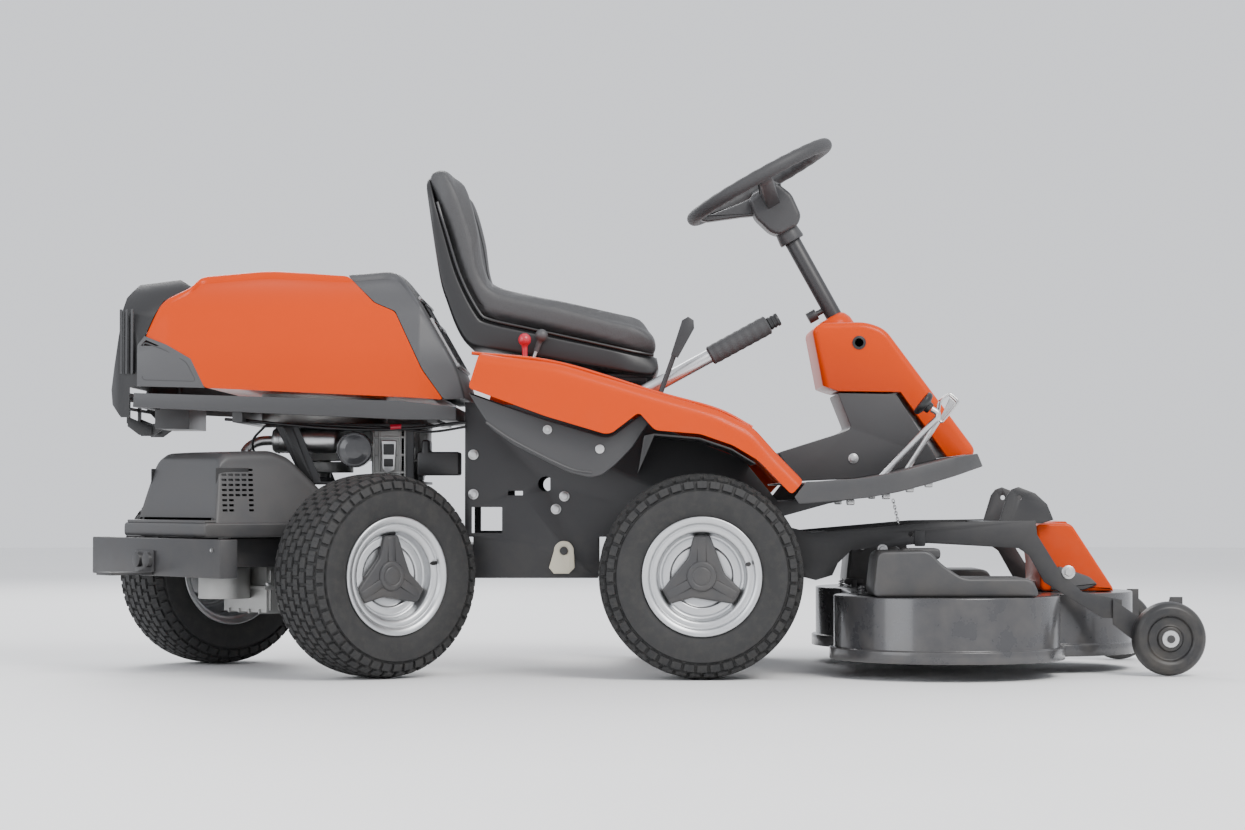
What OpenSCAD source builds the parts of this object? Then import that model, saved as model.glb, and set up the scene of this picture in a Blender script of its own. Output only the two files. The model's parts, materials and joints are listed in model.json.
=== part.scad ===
// Riding lawn mower with a front cutting deck and an articulated rear unit.
// +X is forward, +Y is the driver's left, +Z is up, and the ground is Z = 0.
// Every shape below is placed from the front axle line; on_axle() moves it into the part's frame.

/* [Wheels and axles] */
// Distance between the two axles with the rear unit straight
wheelbase = 860; // [820:5:900]
// Distance between the two front tyre centres
track_front = 712; // [690:1:740]
// Distance between the two rear tyre centres
track_rear = 628; // [600:1:660]
// Outside diameter of a road tyre
tyre_d = 401; // [320:1:410]
// Section width of a road tyre
tyre_w = 165; // [120:1:175]
// Diameter of the bead seat of a road wheel rim
rim_d = 206; // [180:1:230]
// Diameter of the axle shafts
axle_d = 25; // [16:1:30]
// Diameter of a support wheel in front of the deck
support_d = 148; // [120:1:160]
// Width of a support wheel
support_w = 46; // [30:1:52]
// Distance between the two support wheels' centres
support_track = 572; // [540:2:600]

/* [Steering] */
// Distance from the kingpin back to the rear axle
kingpin_to_axle = 130; // [120:1:150]
// Angle at which the rear unit stands turned
steer_rest = 38; // [0:1:38]
// Diameter of the kingpin
kingpin_d = 32; // [20:1:40]
// Outside diameter of the steering wheel
steering_d = 344; // [300:1:380]
// Thickness of the steering wheel's rim
steering_rim_d = 30; // [20:1:34]
// Lean of the steering column towards the driver
column_lean = 29; // [20:1:35]

/* [Frame and covers] */
// Distance between the outer faces of the two frame plates
frame_w = 380; // [340:5:400]
// Thickness of the frame plates
plate_t = 5; // [3:0.5:8]
// Width over the side covers
covers_w = 860; // [820:5:880]
// Wall thickness of the plastic covers
cover_t = 4; // [2.5:0.5:6]
// Width of the hood
hood_w = 536; // [480:4:560]
// Width of the front cowl
cowl_w = 250; // [220:5:280]
// Width of the counterweight bar
bar_w = 520; // [420:5:540]
// Height of the counterweight bar
bar_h = 75; // [50:1:80]

/* [Seat] */
// Width of the seat
seat_w = 450; // [400:5:470]

/* [Cutting deck] */
// Radius of the round outer walls of the deck
lobe_r = 224; // [205:1:235]
// Distance between the centres of the two outer walls
lobe_gap = 534; // [516:2:540]
// Height of the deck's lower edge above the ground
deck_clear = 34; // [25:1:60]
// Height of the deck shell
deck_h = 126; // [110:1:130]
// Thickness of the deck shell
deck_t = 4; // [2:0.5:6]
// Radius of the circle that a blade tip cuts
blade_r = 168; // [140:1:172]
// Diameter of a blade spindle
spindle_d = 25; // [15:1:30]
// Distance between the equipment frame's two arms
arm_gap = 470; // [460:2:480]

/* [Fits] */
// Radial clearance of a shaft that turns in its bore
run_fit = 0.05; // [0.02:0.01:0.1]
// Gap between parts that move past each other
gap = 1; // [0.5:0.1:3]

/* [Hidden] */

$fn = 64;
front_axle_x = 121.2;               // front axle line in the part's frame
axle_z = tyre_d / 2;                // height of both axles
axle_r = axle_d / 2;
bore_r = axle_r + run_fit;
kingpin_x = kingpin_to_axle - wheelbase;
kingpin_r = kingpin_d / 2;
half_frame = frame_w / 2;
half_covers = covers_w / 2;
half_hood = hood_w / 2;
half_seat = seat_w / 2;
flange_y = tyre_w * 0.45;           // rim flange distance from the tyre's middle
tyre_low = rim_d / 2 + 1;           // inner radius of a tyre
tyre_mid = (tyre_low + tyre_d / 2) / 2;
tyre_half = (tyre_d / 2 - tyre_low) / 2;
// rim flange radius: just under the tyre's rounded side where the flange stands
flange_r = tyre_mid - gap
  - tyre_half * pow(1 - pow((flange_y - 4) / (tyre_w / 2), 3), 1 / 3);
tunnel_low = 191;                   // underside of the belt tunnel
tunnel_high = 274;                  // top of the belt tunnel
frame_rear = -472;                  // rear edge of the frame plates
rail_low = 509;                     // underside of the hood rail
rail_high = 562;                    // top of the hood rail at its rear
hood_hinge = [-1135, 492];          // hood hinge pin, X and Z
seat_hinge = [-112, 578];           // seat hinge pin, X and Z
column_foot = [282, 743];           // where the column leaves the cowl, X and Z
column_len = 308;                   // column length from there to the steering wheel
lift_pivot = [-150, 543];           // lift lever pivot, X and Z
lift_y = -262;                      // lift lever plane
lift_angle = 28.5;                  // lift lever above the horizontal
grip_start = 194;                   // from the lift pivot to the grip
grip_len = 133;
choke_y = -269;
throttle_y = -241;
small_pivot = [-348, 585];          // throttle and choke pivot, X and Z
height_pivot = [-84, 545];          // cutting-height lever pivot, X and Z
height_y = -310;
crank_pin = [-272, 246];            // bell crank pin, X and Z
pedal_a = [355, 386];               // forward pedal pivot, X and Z
pedal_b = [410, 398];               // reverse pedal pivot, X and Z
hub_drop = 120;                     // depth of the steering hub below the wheel
bar_x = -451;                       // rear face of the counterweight bar, from the kingpin
bar_t = 21;                         // thickness of the counterweight bar
disc_y = 40;                        // wheel disc, outwards of the tyre's middle
hinge_pin_r = 6;                    // seat hinge pin
hood_pin_r = 5;                     // hood hinge pin
pivot_pin_r = 10;                   // pins that carry the equipment frame
housing_r = 34;                     // rear axle housing
engine_x = -775;                    // crankshaft centre line
frame_pivot = [70, 300];            // equipment frame pivot, X and Z
arm_t = 8;
deck_top = deck_clear + deck_h;
lobe_x = 491;                       // outer lobes' centre
front_lobe_x = 690;                 // front lobe's centre
front_lobe_r = 215;
spindle_y = lobe_gap / 2 + lobe_r - deck_t - blade_r - 17;  // outer blade spindles, 17 off the wall
support_x = 929;
support_y = support_track / 2;
support_z = support_d / 2;

orange = "#f0490a";
dark = "#4a4a4a";
black = "#2f2f2f";
silver = "#c8c8c8";
vinyl = "#3c3c3c";

module on_axle() translate([front_axle_x, 0, 0]) children();

// turns a shape of the straight rear unit to where the unit stands
module steered() translate([kingpin_x, 0, 0]) rotate([0, 0, steer_rest]) children();

module both_sides() { children(); mirror([0, 1, 0]) children(); }

// side profile given as [x, z] points, between two Y planes
module slab(points, y0, y1)
  translate([0, y1, 0]) rotate([90, 0, 0]) linear_extrude(y1 - y0) polygon(points);

module box(x0, x1, y0, y1, z0, z1) translate([x0, y0, z0]) cube([x1 - x0, y1 - y0, z1 - z0]);

// round bar along Y
module rod_y(x, z, r, y0, y1) translate([x, y1, z]) rotate([90, 0, 0]) cylinder(r = r, h = y1 - y0);

// round bar between two points
module rod(a, b, r) {
  d = b - a;
  translate(a) rotate([0, acos(d[2] / norm(d)), atan2(d[1], d[0])]) cylinder(r = r, h = norm(d));
}

/* ---- chassis ---- */

side_plate = [
  [frame_rear, 546], [frame_rear, tunnel_high], [-150, tunnel_high], [-60, 282], [160, 282],
  [160, 345], [90, 430], [-90, 500], [-200, 530]
];

module frame_side() difference() {
  slab(side_plate, -half_frame, -half_frame + plate_t);
  rod_y(-309, 381, 15, -half_frame - 1, -half_frame + plate_t + 1);
  box(-385, -355, -half_frame - 1, -half_frame + plate_t + 1, 358, 367);
  box(-458, -397, -half_frame - 1, -half_frame + plate_t + 1, 282, 334);
}

module seat_bracket() {
  box(-330, -90, -60, 60, 540, 545);
  both_sides() difference() {
    box(-128, -97, 40, 46, 545, 587);
    rod_y(seat_hinge[0], seat_hinge[1], hinge_pin_r + run_fit, 39, 47);
  }
  both_sides() box(-330, -300, 50, 60, 545, 628);
  both_sides() box(-200, -194, 60, half_frame - plate_t, 500, 545);
}

module main_frame() color(black) on_axle() {
  both_sides() frame_side();
  both_sides() box(-455, -203, -half_frame, -half_frame + plate_t, tunnel_low, tunnel_high);
  box(-455, -203, -half_frame, half_frame, tunnel_low, tunnel_low + plate_t);
  box(-300, -290, -half_frame + plate_t, half_frame - plate_t, tunnel_low + plate_t, 420);
  box(150, 156, -half_frame + plate_t, half_frame - plate_t, 305, 340);
  box(-330, -90, -half_frame + plate_t, half_frame - plate_t, 494, 500);
  seat_bracket();
  rod_y(crank_pin[0], crank_pin[1], 8, -half_frame - 12, -half_frame + plate_t);
  both_sides() rod_y(frame_pivot[0], frame_pivot[1], pivot_pin_r,
                     -arm_gap / 2 - arm_t / 2 - 6, -half_frame + plate_t);
  slab([[150, 345], [150, 310], [262, 341], [320, 352], [320, 358], [262, 352]],
       -half_frame, half_frame);
}

module axle_hanger() difference() {
  slab([[-60, 300], [60, 300], [34, axle_z - 30], [-34, axle_z - 30]], -150, -142);
  rod_y(0, axle_z, 28, -151, -141);
}

module front_axle() color(black) on_axle() {
  rod_y(0, axle_z, 28, -track_front / 2 + 60, track_front / 2 - 60);
  both_sides() axle_hanger();
  both_sides() box(-60, 60, 142, half_frame - plate_t, 300, 308);
  both_sides() rod_y(0, axle_z, axle_r, -track_front / 2 - 20, -track_front / 2 + 60);
}

module pivot_bracket() color(black) on_axle() {
  difference() {
    union() {
      box(kingpin_x - 10, -455, -60, 60, tunnel_low + 16, tunnel_high - 16);
      translate([kingpin_x, 0, tunnel_low + 16]) cylinder(r = 45, h = tunnel_high - tunnel_low - 32);
    }
    translate([kingpin_x, 0, 0]) cylinder(r = kingpin_r, h = 600);
  }
  translate([kingpin_x, 0, tunnel_low - 2]) cylinder(r = kingpin_r, h = tunnel_high - tunnel_low + 4);
  box(kingpin_x + 56, kingpin_x + 110, -45, 45, tunnel_high - 16, 380);
  box(-800, -560, -152, 152, 380, 386);
  both_sides() slab([[-862, 504], [-816, 504], [-764, 380], [-800, 380]], -152, -146);
  both_sides() box(-485, -455, 60, half_frame, 230, 258);
  difference() {
    box(-880, -560, -152, 152, 498, 504);
    translate([engine_x, 0, 490]) cylinder(r = 60 + gap, h = 20);
  }
  both_sides() slab([[-604, 386], [-578, 386], [-578, 498], [-604, 498]], 146, 152);
}

module engine_block() color(silver) on_axle() {
  translate([engine_x, 0, 504]) cylinder(r = 130, h = 90);
  translate([engine_x, 0, 594]) cylinder(r = 150, h = 110);
  translate([engine_x, 0, 490]) cylinder(r = 60, h = 20);
  box(-640, -575, -135, -40, 430, 498);
  box(-800, -560, -40, 120, 430, 498);
  translate([engine_x, 0, 395]) cylinder(r = 12.5, h = 40);
  translate([engine_x, 0, 405]) difference() {
    cylinder(r = 60, h = 22);
    translate([0, 0, 6]) rotate_extrude() translate([62, 0]) square([10, 10]);
  }
}

module muffler() color("silver") on_axle() {
  translate([-869, -120, 470]) rotate([0, 90, 0]) cylinder(r = 26, h = 137);
  rod([-869, -120, 470], [-900, -120, 470], 11);
  rod_y(-780, 470, 12, -120, -40);
}

module air_filter() color(black) on_axle() {
  rod_y(-695, 450, 34, -200, -120);
  rod_y(-695, 450, 20, -120, -40);
}

module battery_box() color(black) on_axle() {
  box(-570, -484, -180, -90, 398, 446);
  box(-560, -545, -180, -90, 446, 470);
  box(-570, -560, -150, -90, 386, 398);
}

module fuel_tank() color(black) on_axle()
  difference() {
    box(-440, -345, -half_frame + plate_t, half_frame - plate_t, 380, 490);
    box(-436, -349, -half_frame + plate_t + 4, half_frame - plate_t - 4, 384, 486);
    translate([-392, 120, 480]) cylinder(r = 20, h = 20);
  }

rail_profile = [
  [-1130, rail_low + 25], [-596, rail_low], [-486, rail_low - 1], [-486, 534], [-596, 546],
  [-1128, rail_high]
];

module hood_rail() color(dark) on_axle() {
  difference() {
    slab(rail_profile, -half_hood, half_hood);
    box(-1100, -520, -half_hood + 26, half_hood - 26, 400, 700);
  }
  box(-935, -915, -half_hood + 26, half_hood - 26, 504, 535);
  box(-545, -525, -half_hood + 26, half_hood - 26, 504, 535);
  box(-1110, -1040, -120, 120, 494, rail_low + 35);
  both_sides() difference() {
    slab([[-1148, 480], [-1122, 480], [-1100, 496], [-1100, 510], [-1128, 504], [-1148, 500]],
         60, 66);
    rod_y(hood_hinge[0], hood_hinge[1], hood_pin_r + run_fit, 59, 67);
  }
}

cover_outer = [
  [-453, 566], [-432, 635], [-281, 616], [-87, 558], [31, 525], [101, 490], [147, 438],
  [198, 386], [174, 359], [110, 425], [60, 455], [-4, 477], [-91, 484], [-122, 519],
  [-174, 479], [-188, 477], [-302, 511]
];

module side_cover() {
  difference() {
    slab(cover_outer, -half_covers, -half_frame - 40);
    translate([-cover_t, cover_t, -cover_t]) slab(cover_outer, -half_covers, -half_frame + 40);
    box(lift_pivot[0] - 30, 20, lift_y - 20, lift_y + 20, 520, 640);
    box(height_pivot[0] - 28, height_pivot[0] + 40, height_y - 14, height_y + 14, 520, 640);
    box(-385, -300, choke_y - 15, throttle_y + 15, 580, 660);
  }
  slab([[-281, 616], [-87, 558], [-87, 554], [-281, 612]], -half_frame - 42, -half_frame);
  slab([[-200, 590], [-170, 581], [-170, 505], [-200, 512]], -half_frame - 6, -half_frame);
}

module side_cover_right() color(orange) on_axle() side_cover();
module side_cover_left() color(orange) on_axle() mirror([0, 1, 0]) side_cover();

shield_profile = [
  [-456, 560], [-432, 521], [-410, 487], [-363, 454], [-258, 402], [-219, 392], [-195, 396],
  [-169, 416], [-135, 450], [-97, 507], [-116, 517], [-174, 474], [-190, 472], [-304, 506]
];

module lower_shields() color(dark) on_axle() both_sides() {
  slab(shield_profile, -392, -388);
  box(-330, -250, -388, -half_frame, 452, 456);
}

module arch_liners() color(black) on_axle() both_sides()
  slab([[-112, 474], [-92, 478], [-4, 470], [58, 449], [104, 421], [104, 417], [57, 445],
        [-5, 466], [-92, 474], [-124, 400]], -half_covers + 6, -half_frame);

/* ---- front end ---- */

tower_profile = [
  [164, 445], [204, 387], [321, 392], [380, 403], [435, 418], [490, 431], [406, 565],
  [286, 567], [314, 496], [302, 488]
];

module floor_tower() color(dark) on_axle() {
  difference() {
    slab(tower_profile, -cowl_w / 2 + 4, cowl_w / 2 - 4);
    translate([2, 0, -cover_t]) slab(tower_profile, -cowl_w / 2 + 8, cowl_w / 2 - 8);
  }
}

plate_top = [[159, 382], [240, 386], [321, 392], [380, 403], [435, 418], [490, 431], [545, 440]];
plate_low = [[557, 415], [490, 394], [435, 378], [380, 364], [321, 353], [250, 346], [188, 341]];

module plate_plan(inset) linear_extrude(600) polygon([
  [100, -half_covers + inset], [400, -half_covers + inset], [500, -half_covers + 40 + inset],
  [562 - inset, -half_covers + 110 + inset], [562 - inset, half_covers - 110 - inset],
  [500, half_covers - 40 - inset], [400, half_covers - inset], [100, half_covers - inset]
]);

module footplate() color("#5e5e5e") on_axle() difference() {
  intersection() {
    slab(concat(plate_top, plate_low), -half_covers, half_covers);
    plate_plan(0);
  }
  intersection() {
    translate([0, 0, -cover_t])
      slab(concat(plate_top, [[545, 340], [188, 300], [163, 340]]), -half_covers, half_covers);
    plate_plan(cover_t);
  }
  both_sides() slab([[140, 445], [204, 387], [177, 352], [140, 388]],
                    -half_covers - 1, -half_frame - 39);
  box(pedal_a[0] - 9, pedal_a[0] + 48, -278, -258, 390, 440);
  box(pedal_b[0] - 10, pedal_b[0] + 40, -224, -206, 396, 450);
}

cowl_profile = [
  [236, 697], [244, 708], [258, 710], [268, 726], [302, 728], [330, 713], [356, 711],
  [380, 699], [544, 473], [560, 467], [574, 444], [545, 441], [510, 436], [415, 569], [288, 571]
];

module cowl() color(orange) on_axle() difference() {
  slab(cowl_profile, -cowl_w / 2, cowl_w / 2);
  translate([0, 0, -cover_t]) slab(
    [[244, 692], [302, 715], [372, 690], [540, 468], [505, 400], [410, 500], [298, 500]],
    -cowl_w / 2 + cover_t, cowl_w / 2 - cover_t);
  both_sides() rod_y(330, 647, 10, cowl_w / 2 - 8, cowl_w / 2 + 1);
  translate([column_foot[0], 0, column_foot[1]]) rotate([0, -column_lean, 0])
    translate([0, 0, -80]) cylinder(r = 24, h = 90);
}

module on_column() translate([column_foot[0], 0, column_foot[1]]) rotate([0, -column_lean, 0])
  children();

module steering_column() color(dark) on_axle() on_column() {
  translate([0, 0, -186]) difference() {
    cylinder(r = 17, h = 186 + column_len - hub_drop - gap);
    translate([0, 0, 216]) cylinder(r = 10 + run_fit, h = 300);
  }
  translate([-32, 0, 9]) rotate([0, 90, 0]) cylinder(r = 6, h = 16);
  translate([-50, 0, 9]) rotate([0, 90, 0]) cylinder(r = 12, h = 20);
}

module lever_console() color(black) on_axle() difference() {
  slab([[-410, 626], [-290, 611], [-290, 607], [-410, 622]], choke_y - 18, throttle_y + 14);
  for (y = [choke_y, throttle_y]) box(-372, -318, y - 5, y + 5, 590, 650);
}

module bolt_y(x, z, y, r = 7) { rod_y(x, z, r, y - 5, y); rod_y(x, z, r * 1.5, y - 1.5, y); }

module fasteners() color(silver) on_axle() {
  both_sides() for (p = [[-271, 356], [-288, 330], [-455, 440], [-455, 360]])
    bolt_y(p[0], p[1], -half_frame);
  both_sides() bolt_y(-198, 448, -392, 9);
  both_sides() bolt_y(318, 433, -cowl_w / 2 + 4);
  both_sides() bolt_y(330, 647, -cowl_w / 2 + 8, 6);
}

/* ---- hood ---- */

hood_profile = [
  [-987, 572], [-1015, 630], [-1063, 658], [-1109, 676], [-1094, 713], [-1077, 748],
  [-1023, 778], [-1010, 801], [-874, 815], [-710, 800], [-652, 744], [-610, 726],
  [-554, 608], [-512, 549], [-578, 553]
];
hood_inner = [
  [-987, 540], [-1012, 640], [-1058, 668], [-1096, 684], [-1068, 742], [-1012, 774],
  [-1004, 795], [-874, 809], [-714, 795], [-650, 736], [-614, 721], [-560, 610], [-520, 520]
];

// front view of the hood: straight sides that lean in above a shoulder
module hood_section(inset) rotate([90, 0, 90]) translate([0, 0, -1300]) linear_extrude(1000)
  polygon(concat(
    [for (p = section_points) [p[0] - inset, p[1] - inset]],
    [for (i = [len(section_points) - 1:-1:0])
      [inset - section_points[i][0], section_points[i][1] - inset]]));

section_points = [
  [half_hood, 300], [half_hood, 640], [half_hood - 22, 730], [half_hood - 62, 772],
  [half_hood - 140, 822]
];

// top view of the hood, with its corners drawn in
module hood_plan(inset) linear_extrude(1000) polygon([
  for (s = [1, -1]) for (p = s > 0 ? plan_points : [for (i = [len(plan_points) - 1:-1:0])
    plan_points[i]]) [p[0], s * (half_hood - p[1] - inset)]
]);

plan_points = [[-1190, 62], [-1165, 30], [-1120, 6], [-1060, 0], [-560, 0], [-440, 34]];

module hood_piece(outer, inner) difference() {
  intersection() {
    slab(outer, -half_hood, half_hood);
    hood_section(0);
    hood_plan(0);
  }
  intersection() {
    slab(inner, -half_hood, half_hood);
    hood_section(cover_t);
    hood_plan(cover_t);
  }
}

module hood_shell() color(orange) on_axle() hood_piece(hood_profile, hood_inner);

grille_profile = [
  [-710, 800], [-708, 807], [-612, 815], [-570, 762], [-484, 611], [-468, 552], [-512, 549],
  [-554, 608], [-610, 726], [-652, 744]
];

module hood_front_grille() color(silver) on_axle() difference() {
  intersection() {
    slab(grille_profile, -half_hood, half_hood);
    hood_section(2);
    hood_plan(2);
  }
  intersection() {
    slab([[-704, 795], [-616, 808], [-574, 758], [-489, 608], [-478, 500], [-530, 500],
          [-560, 606], [-616, 724], [-656, 740]], -half_hood, half_hood);
    hood_section(6);
    hood_plan(6);
  }
  for (i = [0:4]) slab([[-620 + i * 22, 750 - i * 36], [-560 + i * 22, 760 - i * 36],
    [-556 + i * 22, 744 - i * 36], [-612 + i * 22, 734 - i * 36]], -170, 170);
}

cap_profile = [
  [-1023, 778], [-1052, 796], [-1132, 784], [-1152, 755], [-1160, 702], [-1176, 615],
  [-1183, 570], [-1180, 540], [-1159, 514], [-1140, 514], [-1140, 575], [-1122, 575],
  [-1122, 658], [-1109, 676], [-1094, 713], [-1077, 748]
];

module hood_rear_cap() color(dark) on_axle() {
  difference() {
    intersection() {
      slab(cap_profile, -half_hood, half_hood);
      hood_section(4);
      hood_plan(4);
    }
    intersection() {
      slab([[-1030, 770], [-1052, 790], [-1128, 778], [-1147, 752], [-1154, 702], [-1170, 615],
            [-1177, 570], [-1172, 500], [-1000, 500], [-1000, 700]],
           -half_hood, half_hood);
      hood_section(9);
      hood_plan(9);
    }
    for (z = [540:30:700]) box(-1200, -1140, -200, 200, z, z + 12);
  }
  both_sides() slab([[-1174, 520], [-1150, 510], [-1124, 500], [-1124, 482], [-1150, 482],
    [-1174, 500]], 68, 74);
  rod_y(hood_hinge[0], hood_hinge[1], hood_pin_r, -74, 74);
  both_sides() box(-1176, -1170, 60, 74, 506, 560);
}

module hood_corner_panels() color("#6a6a6a") on_axle() both_sides() difference() {
  intersection() {
    slab([[-1122, 575], [-987, 572], [-1015, 630], [-1063, 658], [-1109, 676], [-1122, 658]],
         -half_hood, -half_hood + 12);
    hood_section(0);
  }
  slab([[-1116, 560], [-993, 560], [-1020, 624], [-1064, 650], [-1106, 668], [-1116, 656]],
       -half_hood + cover_t, -half_hood + 20);
}

/* ---- seat ---- */

pan_profile = [
  [-551, 992], [-524, 800], [-492, 700], [-470, 662], [-440, 652], [-200, 612], [-100, 596],
  [-78, 610], [-88, 640], [-103, 639], [-277, 678], [-422, 710], [-446, 728], [-482, 800],
  [-511, 891], [-543, 1000]
];

pan_inner = [
  [-540, 930], [-518, 801], [-487, 704], [-466, 668], [-438, 658], [-199, 618], [-101, 602],
  [-87, 612], [-94, 632], [-104, 633], [-279, 672], [-425, 704], [-451, 724], [-488, 797],
  [-517, 889], [-528, 930]
];

module seat_pan() color(black) on_axle() {
  difference() {
    slab(pan_profile, -half_seat, half_seat);
    slab(pan_inner, -half_seat + 6, half_seat - 6);
    box(-420, -160, -half_seat + 40, half_seat - 40, 590, 700);
  }
  both_sides() slab([[seat_hinge[0] - 12, seat_hinge[1] - 12],
    [seat_hinge[0] + 12, seat_hinge[1] - 12], [-92, 604], [-150, 610]], 47, 53);
  rod_y(seat_hinge[0], seat_hinge[1], hinge_pin_r, -56, 56);
}

pad_profile = [
  [-543, 1001], [-521, 1028], [-500, 1024], [-473, 986], [-448, 900], [-438, 810],
  [-412, 778], [-330, 757], [-277, 750], [-117, 712], [-76, 680], [-88, 641], [-103, 640],
  [-277, 679], [-422, 711], [-445, 729], [-481, 801], [-510, 892]
];

module seat_pad() color(vinyl) on_axle() slab(pad_profile, -half_seat, half_seat);

/* ---- steering wheel ---- */

module on_wheel_plane() on_axle() on_column() translate([0, 0, column_len]) children();

module steering_rim() color(dark) on_wheel_plane() {
  rotate_extrude($fn = 96) translate([steering_d / 2 - steering_rim_d / 2, 0])
    circle(d = steering_rim_d, $fn = 24);
  for (a = [90, 180, 270]) rotate([0, 0, a]) slab([[18, -24], [34, -62],
    [steering_d / 2 - 34, -22], [steering_d / 2 - 20, -8], [steering_d / 2 - 24, 4], [120, -12]],
    -17, 17);
}

module steering_hub() color(dark) on_wheel_plane() {
  translate([0, 0, -24]) cylinder(r = 17.5, h = 14);
  translate([0, 0, -hub_drop]) cylinder(r = 34, h = 40);
  translate([0, 0, -hub_drop + 40]) cylinder(r1 = 34, r2 = 17.5, h = hub_drop - 64);
  translate([0, 0, -hub_drop - 50]) cylinder(r = 10, h = 51);
}

/* ---- rear unit, drawn straight from the kingpin backwards ---- */

module rear_frame() color(black) on_axle() steered() {
  for (z = [tunnel_low + 4, tunnel_high - 15]) difference() {
    union() {
      box(-80, 0, -50, 50, z, z + 11);
      translate([0, 0, z]) cylinder(r = 50, h = 11);
    }
    translate([0, 0, z - 1]) cylinder(r = kingpin_r + run_fit, h = 14);
  }
  box(-92, -80, -110, 110, tunnel_low + 4, tunnel_high - 4);
  both_sides() difference() {
    box(-430, -92, 104, 110, axle_z + 14.5, tunnel_high - 2);
    rod_y(-kingpin_to_axle, axle_z, housing_r, 103, 111);
  }
  box(-430, -424, -104, 104, axle_z + 14.5, tunnel_high - 2);
}

module transaxle() color(silver) on_axle() steered() {
  box(-250, -96, -92, 92, axle_z - 32.5, axle_z - 24.5);
  box(-242, -100, -84, 84, axle_z - 78.5, axle_z - 32.5);
  box(-242, -100, -84, 84, axle_z - 24.5, axle_z + 13.5);
  translate([-290, 0, axle_z - 50.5]) cylinder(r = 52, h = 62);
  rod_y(-kingpin_to_axle, axle_z, housing_r, -track_rear / 2 + 70, track_rear / 2 - 70);
  both_sides() rod_y(-kingpin_to_axle, axle_z, axle_r, -track_rear / 2 - 20, -track_rear / 2 + 70);
  translate([-290, 0, axle_z + 11.5]) cylinder(r = 12, h = 300.5 - axle_z);
  translate([-290, 0, 312]) cylinder(r = 70, h = 20);
}

cover_side = [
  [-430, 304], [-400, 304], [-374, 436], [-360, 443], [-250, 447], [-215, 436], [-112, 330],
  [-100, 304], [-100, tunnel_high], [-430, tunnel_high]
];

module rear_cover() color(dark) on_axle() steered() difference() {
  intersection() {
    slab(cover_side, -165, 165);
    rotate([90, 0, 90]) translate([0, 0, -500]) linear_extrude(500)
      polygon([[-165, 200], [165, 200], [165, 304], [150, 304], [126, 447], [-126, 447],
               [-150, 304], [-165, 304]]);
  }
  intersection() {
    translate([0, 0, -cover_t]) slab([[-426, 200], [-426, 304], [-395, 304], [-370, 434],
      [-356, 443], [-250, 447], [-217, 434], [-117, 330], [-105, 304], [-105, 200]], -161, 161);
    rotate([90, 0, 90]) translate([0, 0, -500]) linear_extrude(500)
      polygon([[-161, 100], [161, 100], [161, 300], [146, 300], [122, 443], [-122, 443],
               [-146, 300], [-161, 300]]);
  }
  for (z = [322:14:392]) for (y = [-70, -45, 30, 55])
    box(-440, -340, y, y + 15, z, z + 8);
}

module counterweight_bar() color(black) on_axle() steered() {
  box(bar_x, bar_x + bar_t, -bar_w / 2, bar_w / 2, tunnel_high - 1 - bar_h, tunnel_high - 1);
  both_sides() box(bar_x, bar_x + 40, bar_w / 2 - 6, bar_w / 2, tunnel_high - 1 - bar_h,
                   tunnel_high - 1);
}

module tow_hitch() color(silver) on_axle() steered() {
  for (y = [12, 52]) translate([bar_x - 12, y, 230]) rotate([0, 90, 0]) cylinder(r = 15, h = 12);
  box(bar_x - 4, bar_x, -6, 70, 206, 248);
  difference() {
    box(bar_x - 95, bar_x, 0, 60, 200, 206);
    translate([bar_x - 72, 30, 199]) cylinder(r = 8, h = 8);
  }
}

/* ---- wheels ---- */

// U-shaped tyre section: a rounded outside with the bead gap left open
function bulge(r_mid, half_r, half_w, e, n) = [for (i = [0:n - 1]) let (
  a = 360 * i / n, c = cos(a), s = sin(a)
) [r_mid + half_r * sign(c) * pow(abs(c), 2 / e), half_w * sign(s) * pow(abs(s), 2 / e)]];

module tyre() rotate([90, 0, 0]) rotate_extrude($fn = 96) {
  difference() {
    polygon(bulge(tyre_mid, tyre_half, tyre_w / 2, 3, 32));
    polygon(bulge(tyre_mid - 7, tyre_half - 6, tyre_w / 2 - 9, 3, 32));
  }
}

module ring(r0, r1, z0, z1) rotate_extrude($fn = 96) translate([r0, z0]) square([r1 - r0, z1 - z0]);

module rim() rotate([90, 0, 0]) {
  bead = rim_d / 2;
  ring(bead - 4, bead, -flange_y, flange_y);
  for (z = [-flange_y, flange_y - 4]) ring(bead - 4, flange_r, z, z + 4);
  ring(bead - 18, bead - 3, disc_y - 14, disc_y - 10);
  ring(bead - 18, bead - 14, disc_y - 14, disc_y + 4);
  ring(26, bead - 14, disc_y, disc_y + 4);
  ring(bore_r, 30, -50, disc_y + 2);
  translate([0, 0, disc_y + 1]) cylinder(r = 30, h = 16);
  for (a = [90, 210, 330]) rotate([0, 0, a]) translate([0, 0, disc_y + 3]) linear_extrude(10)
    polygon([[25, -17], [82, -8], [82, 8], [25, 17]]);
}

// a wheel's outer side faces away from the machine: side is -1 on the right, 1 on the left
module front_place(side) on_axle() translate([0, side * track_front / 2, axle_z])
  mirror([0, side > 0 ? 1 : 0, 0]) children();
module rear_place(side) on_axle() steered()
  translate([-kingpin_to_axle, side * track_rear / 2, axle_z])
  mirror([0, side > 0 ? 1 : 0, 0]) children();

module front_tyre_right() color(black) front_place(-1) tyre();
module front_tyre_left() color(black) front_place(1) tyre();
module rear_tyre_right() color(black) rear_place(-1) tyre();
module rear_tyre_left() color(black) rear_place(1) tyre();
module front_rim_right() color(silver) front_place(-1) rim();
module front_rim_left() color(silver) front_place(1) rim();
module rear_rim_right() color(silver) rear_place(-1) rim();
module rear_rim_left() color(silver) rear_place(1) rim();

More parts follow.
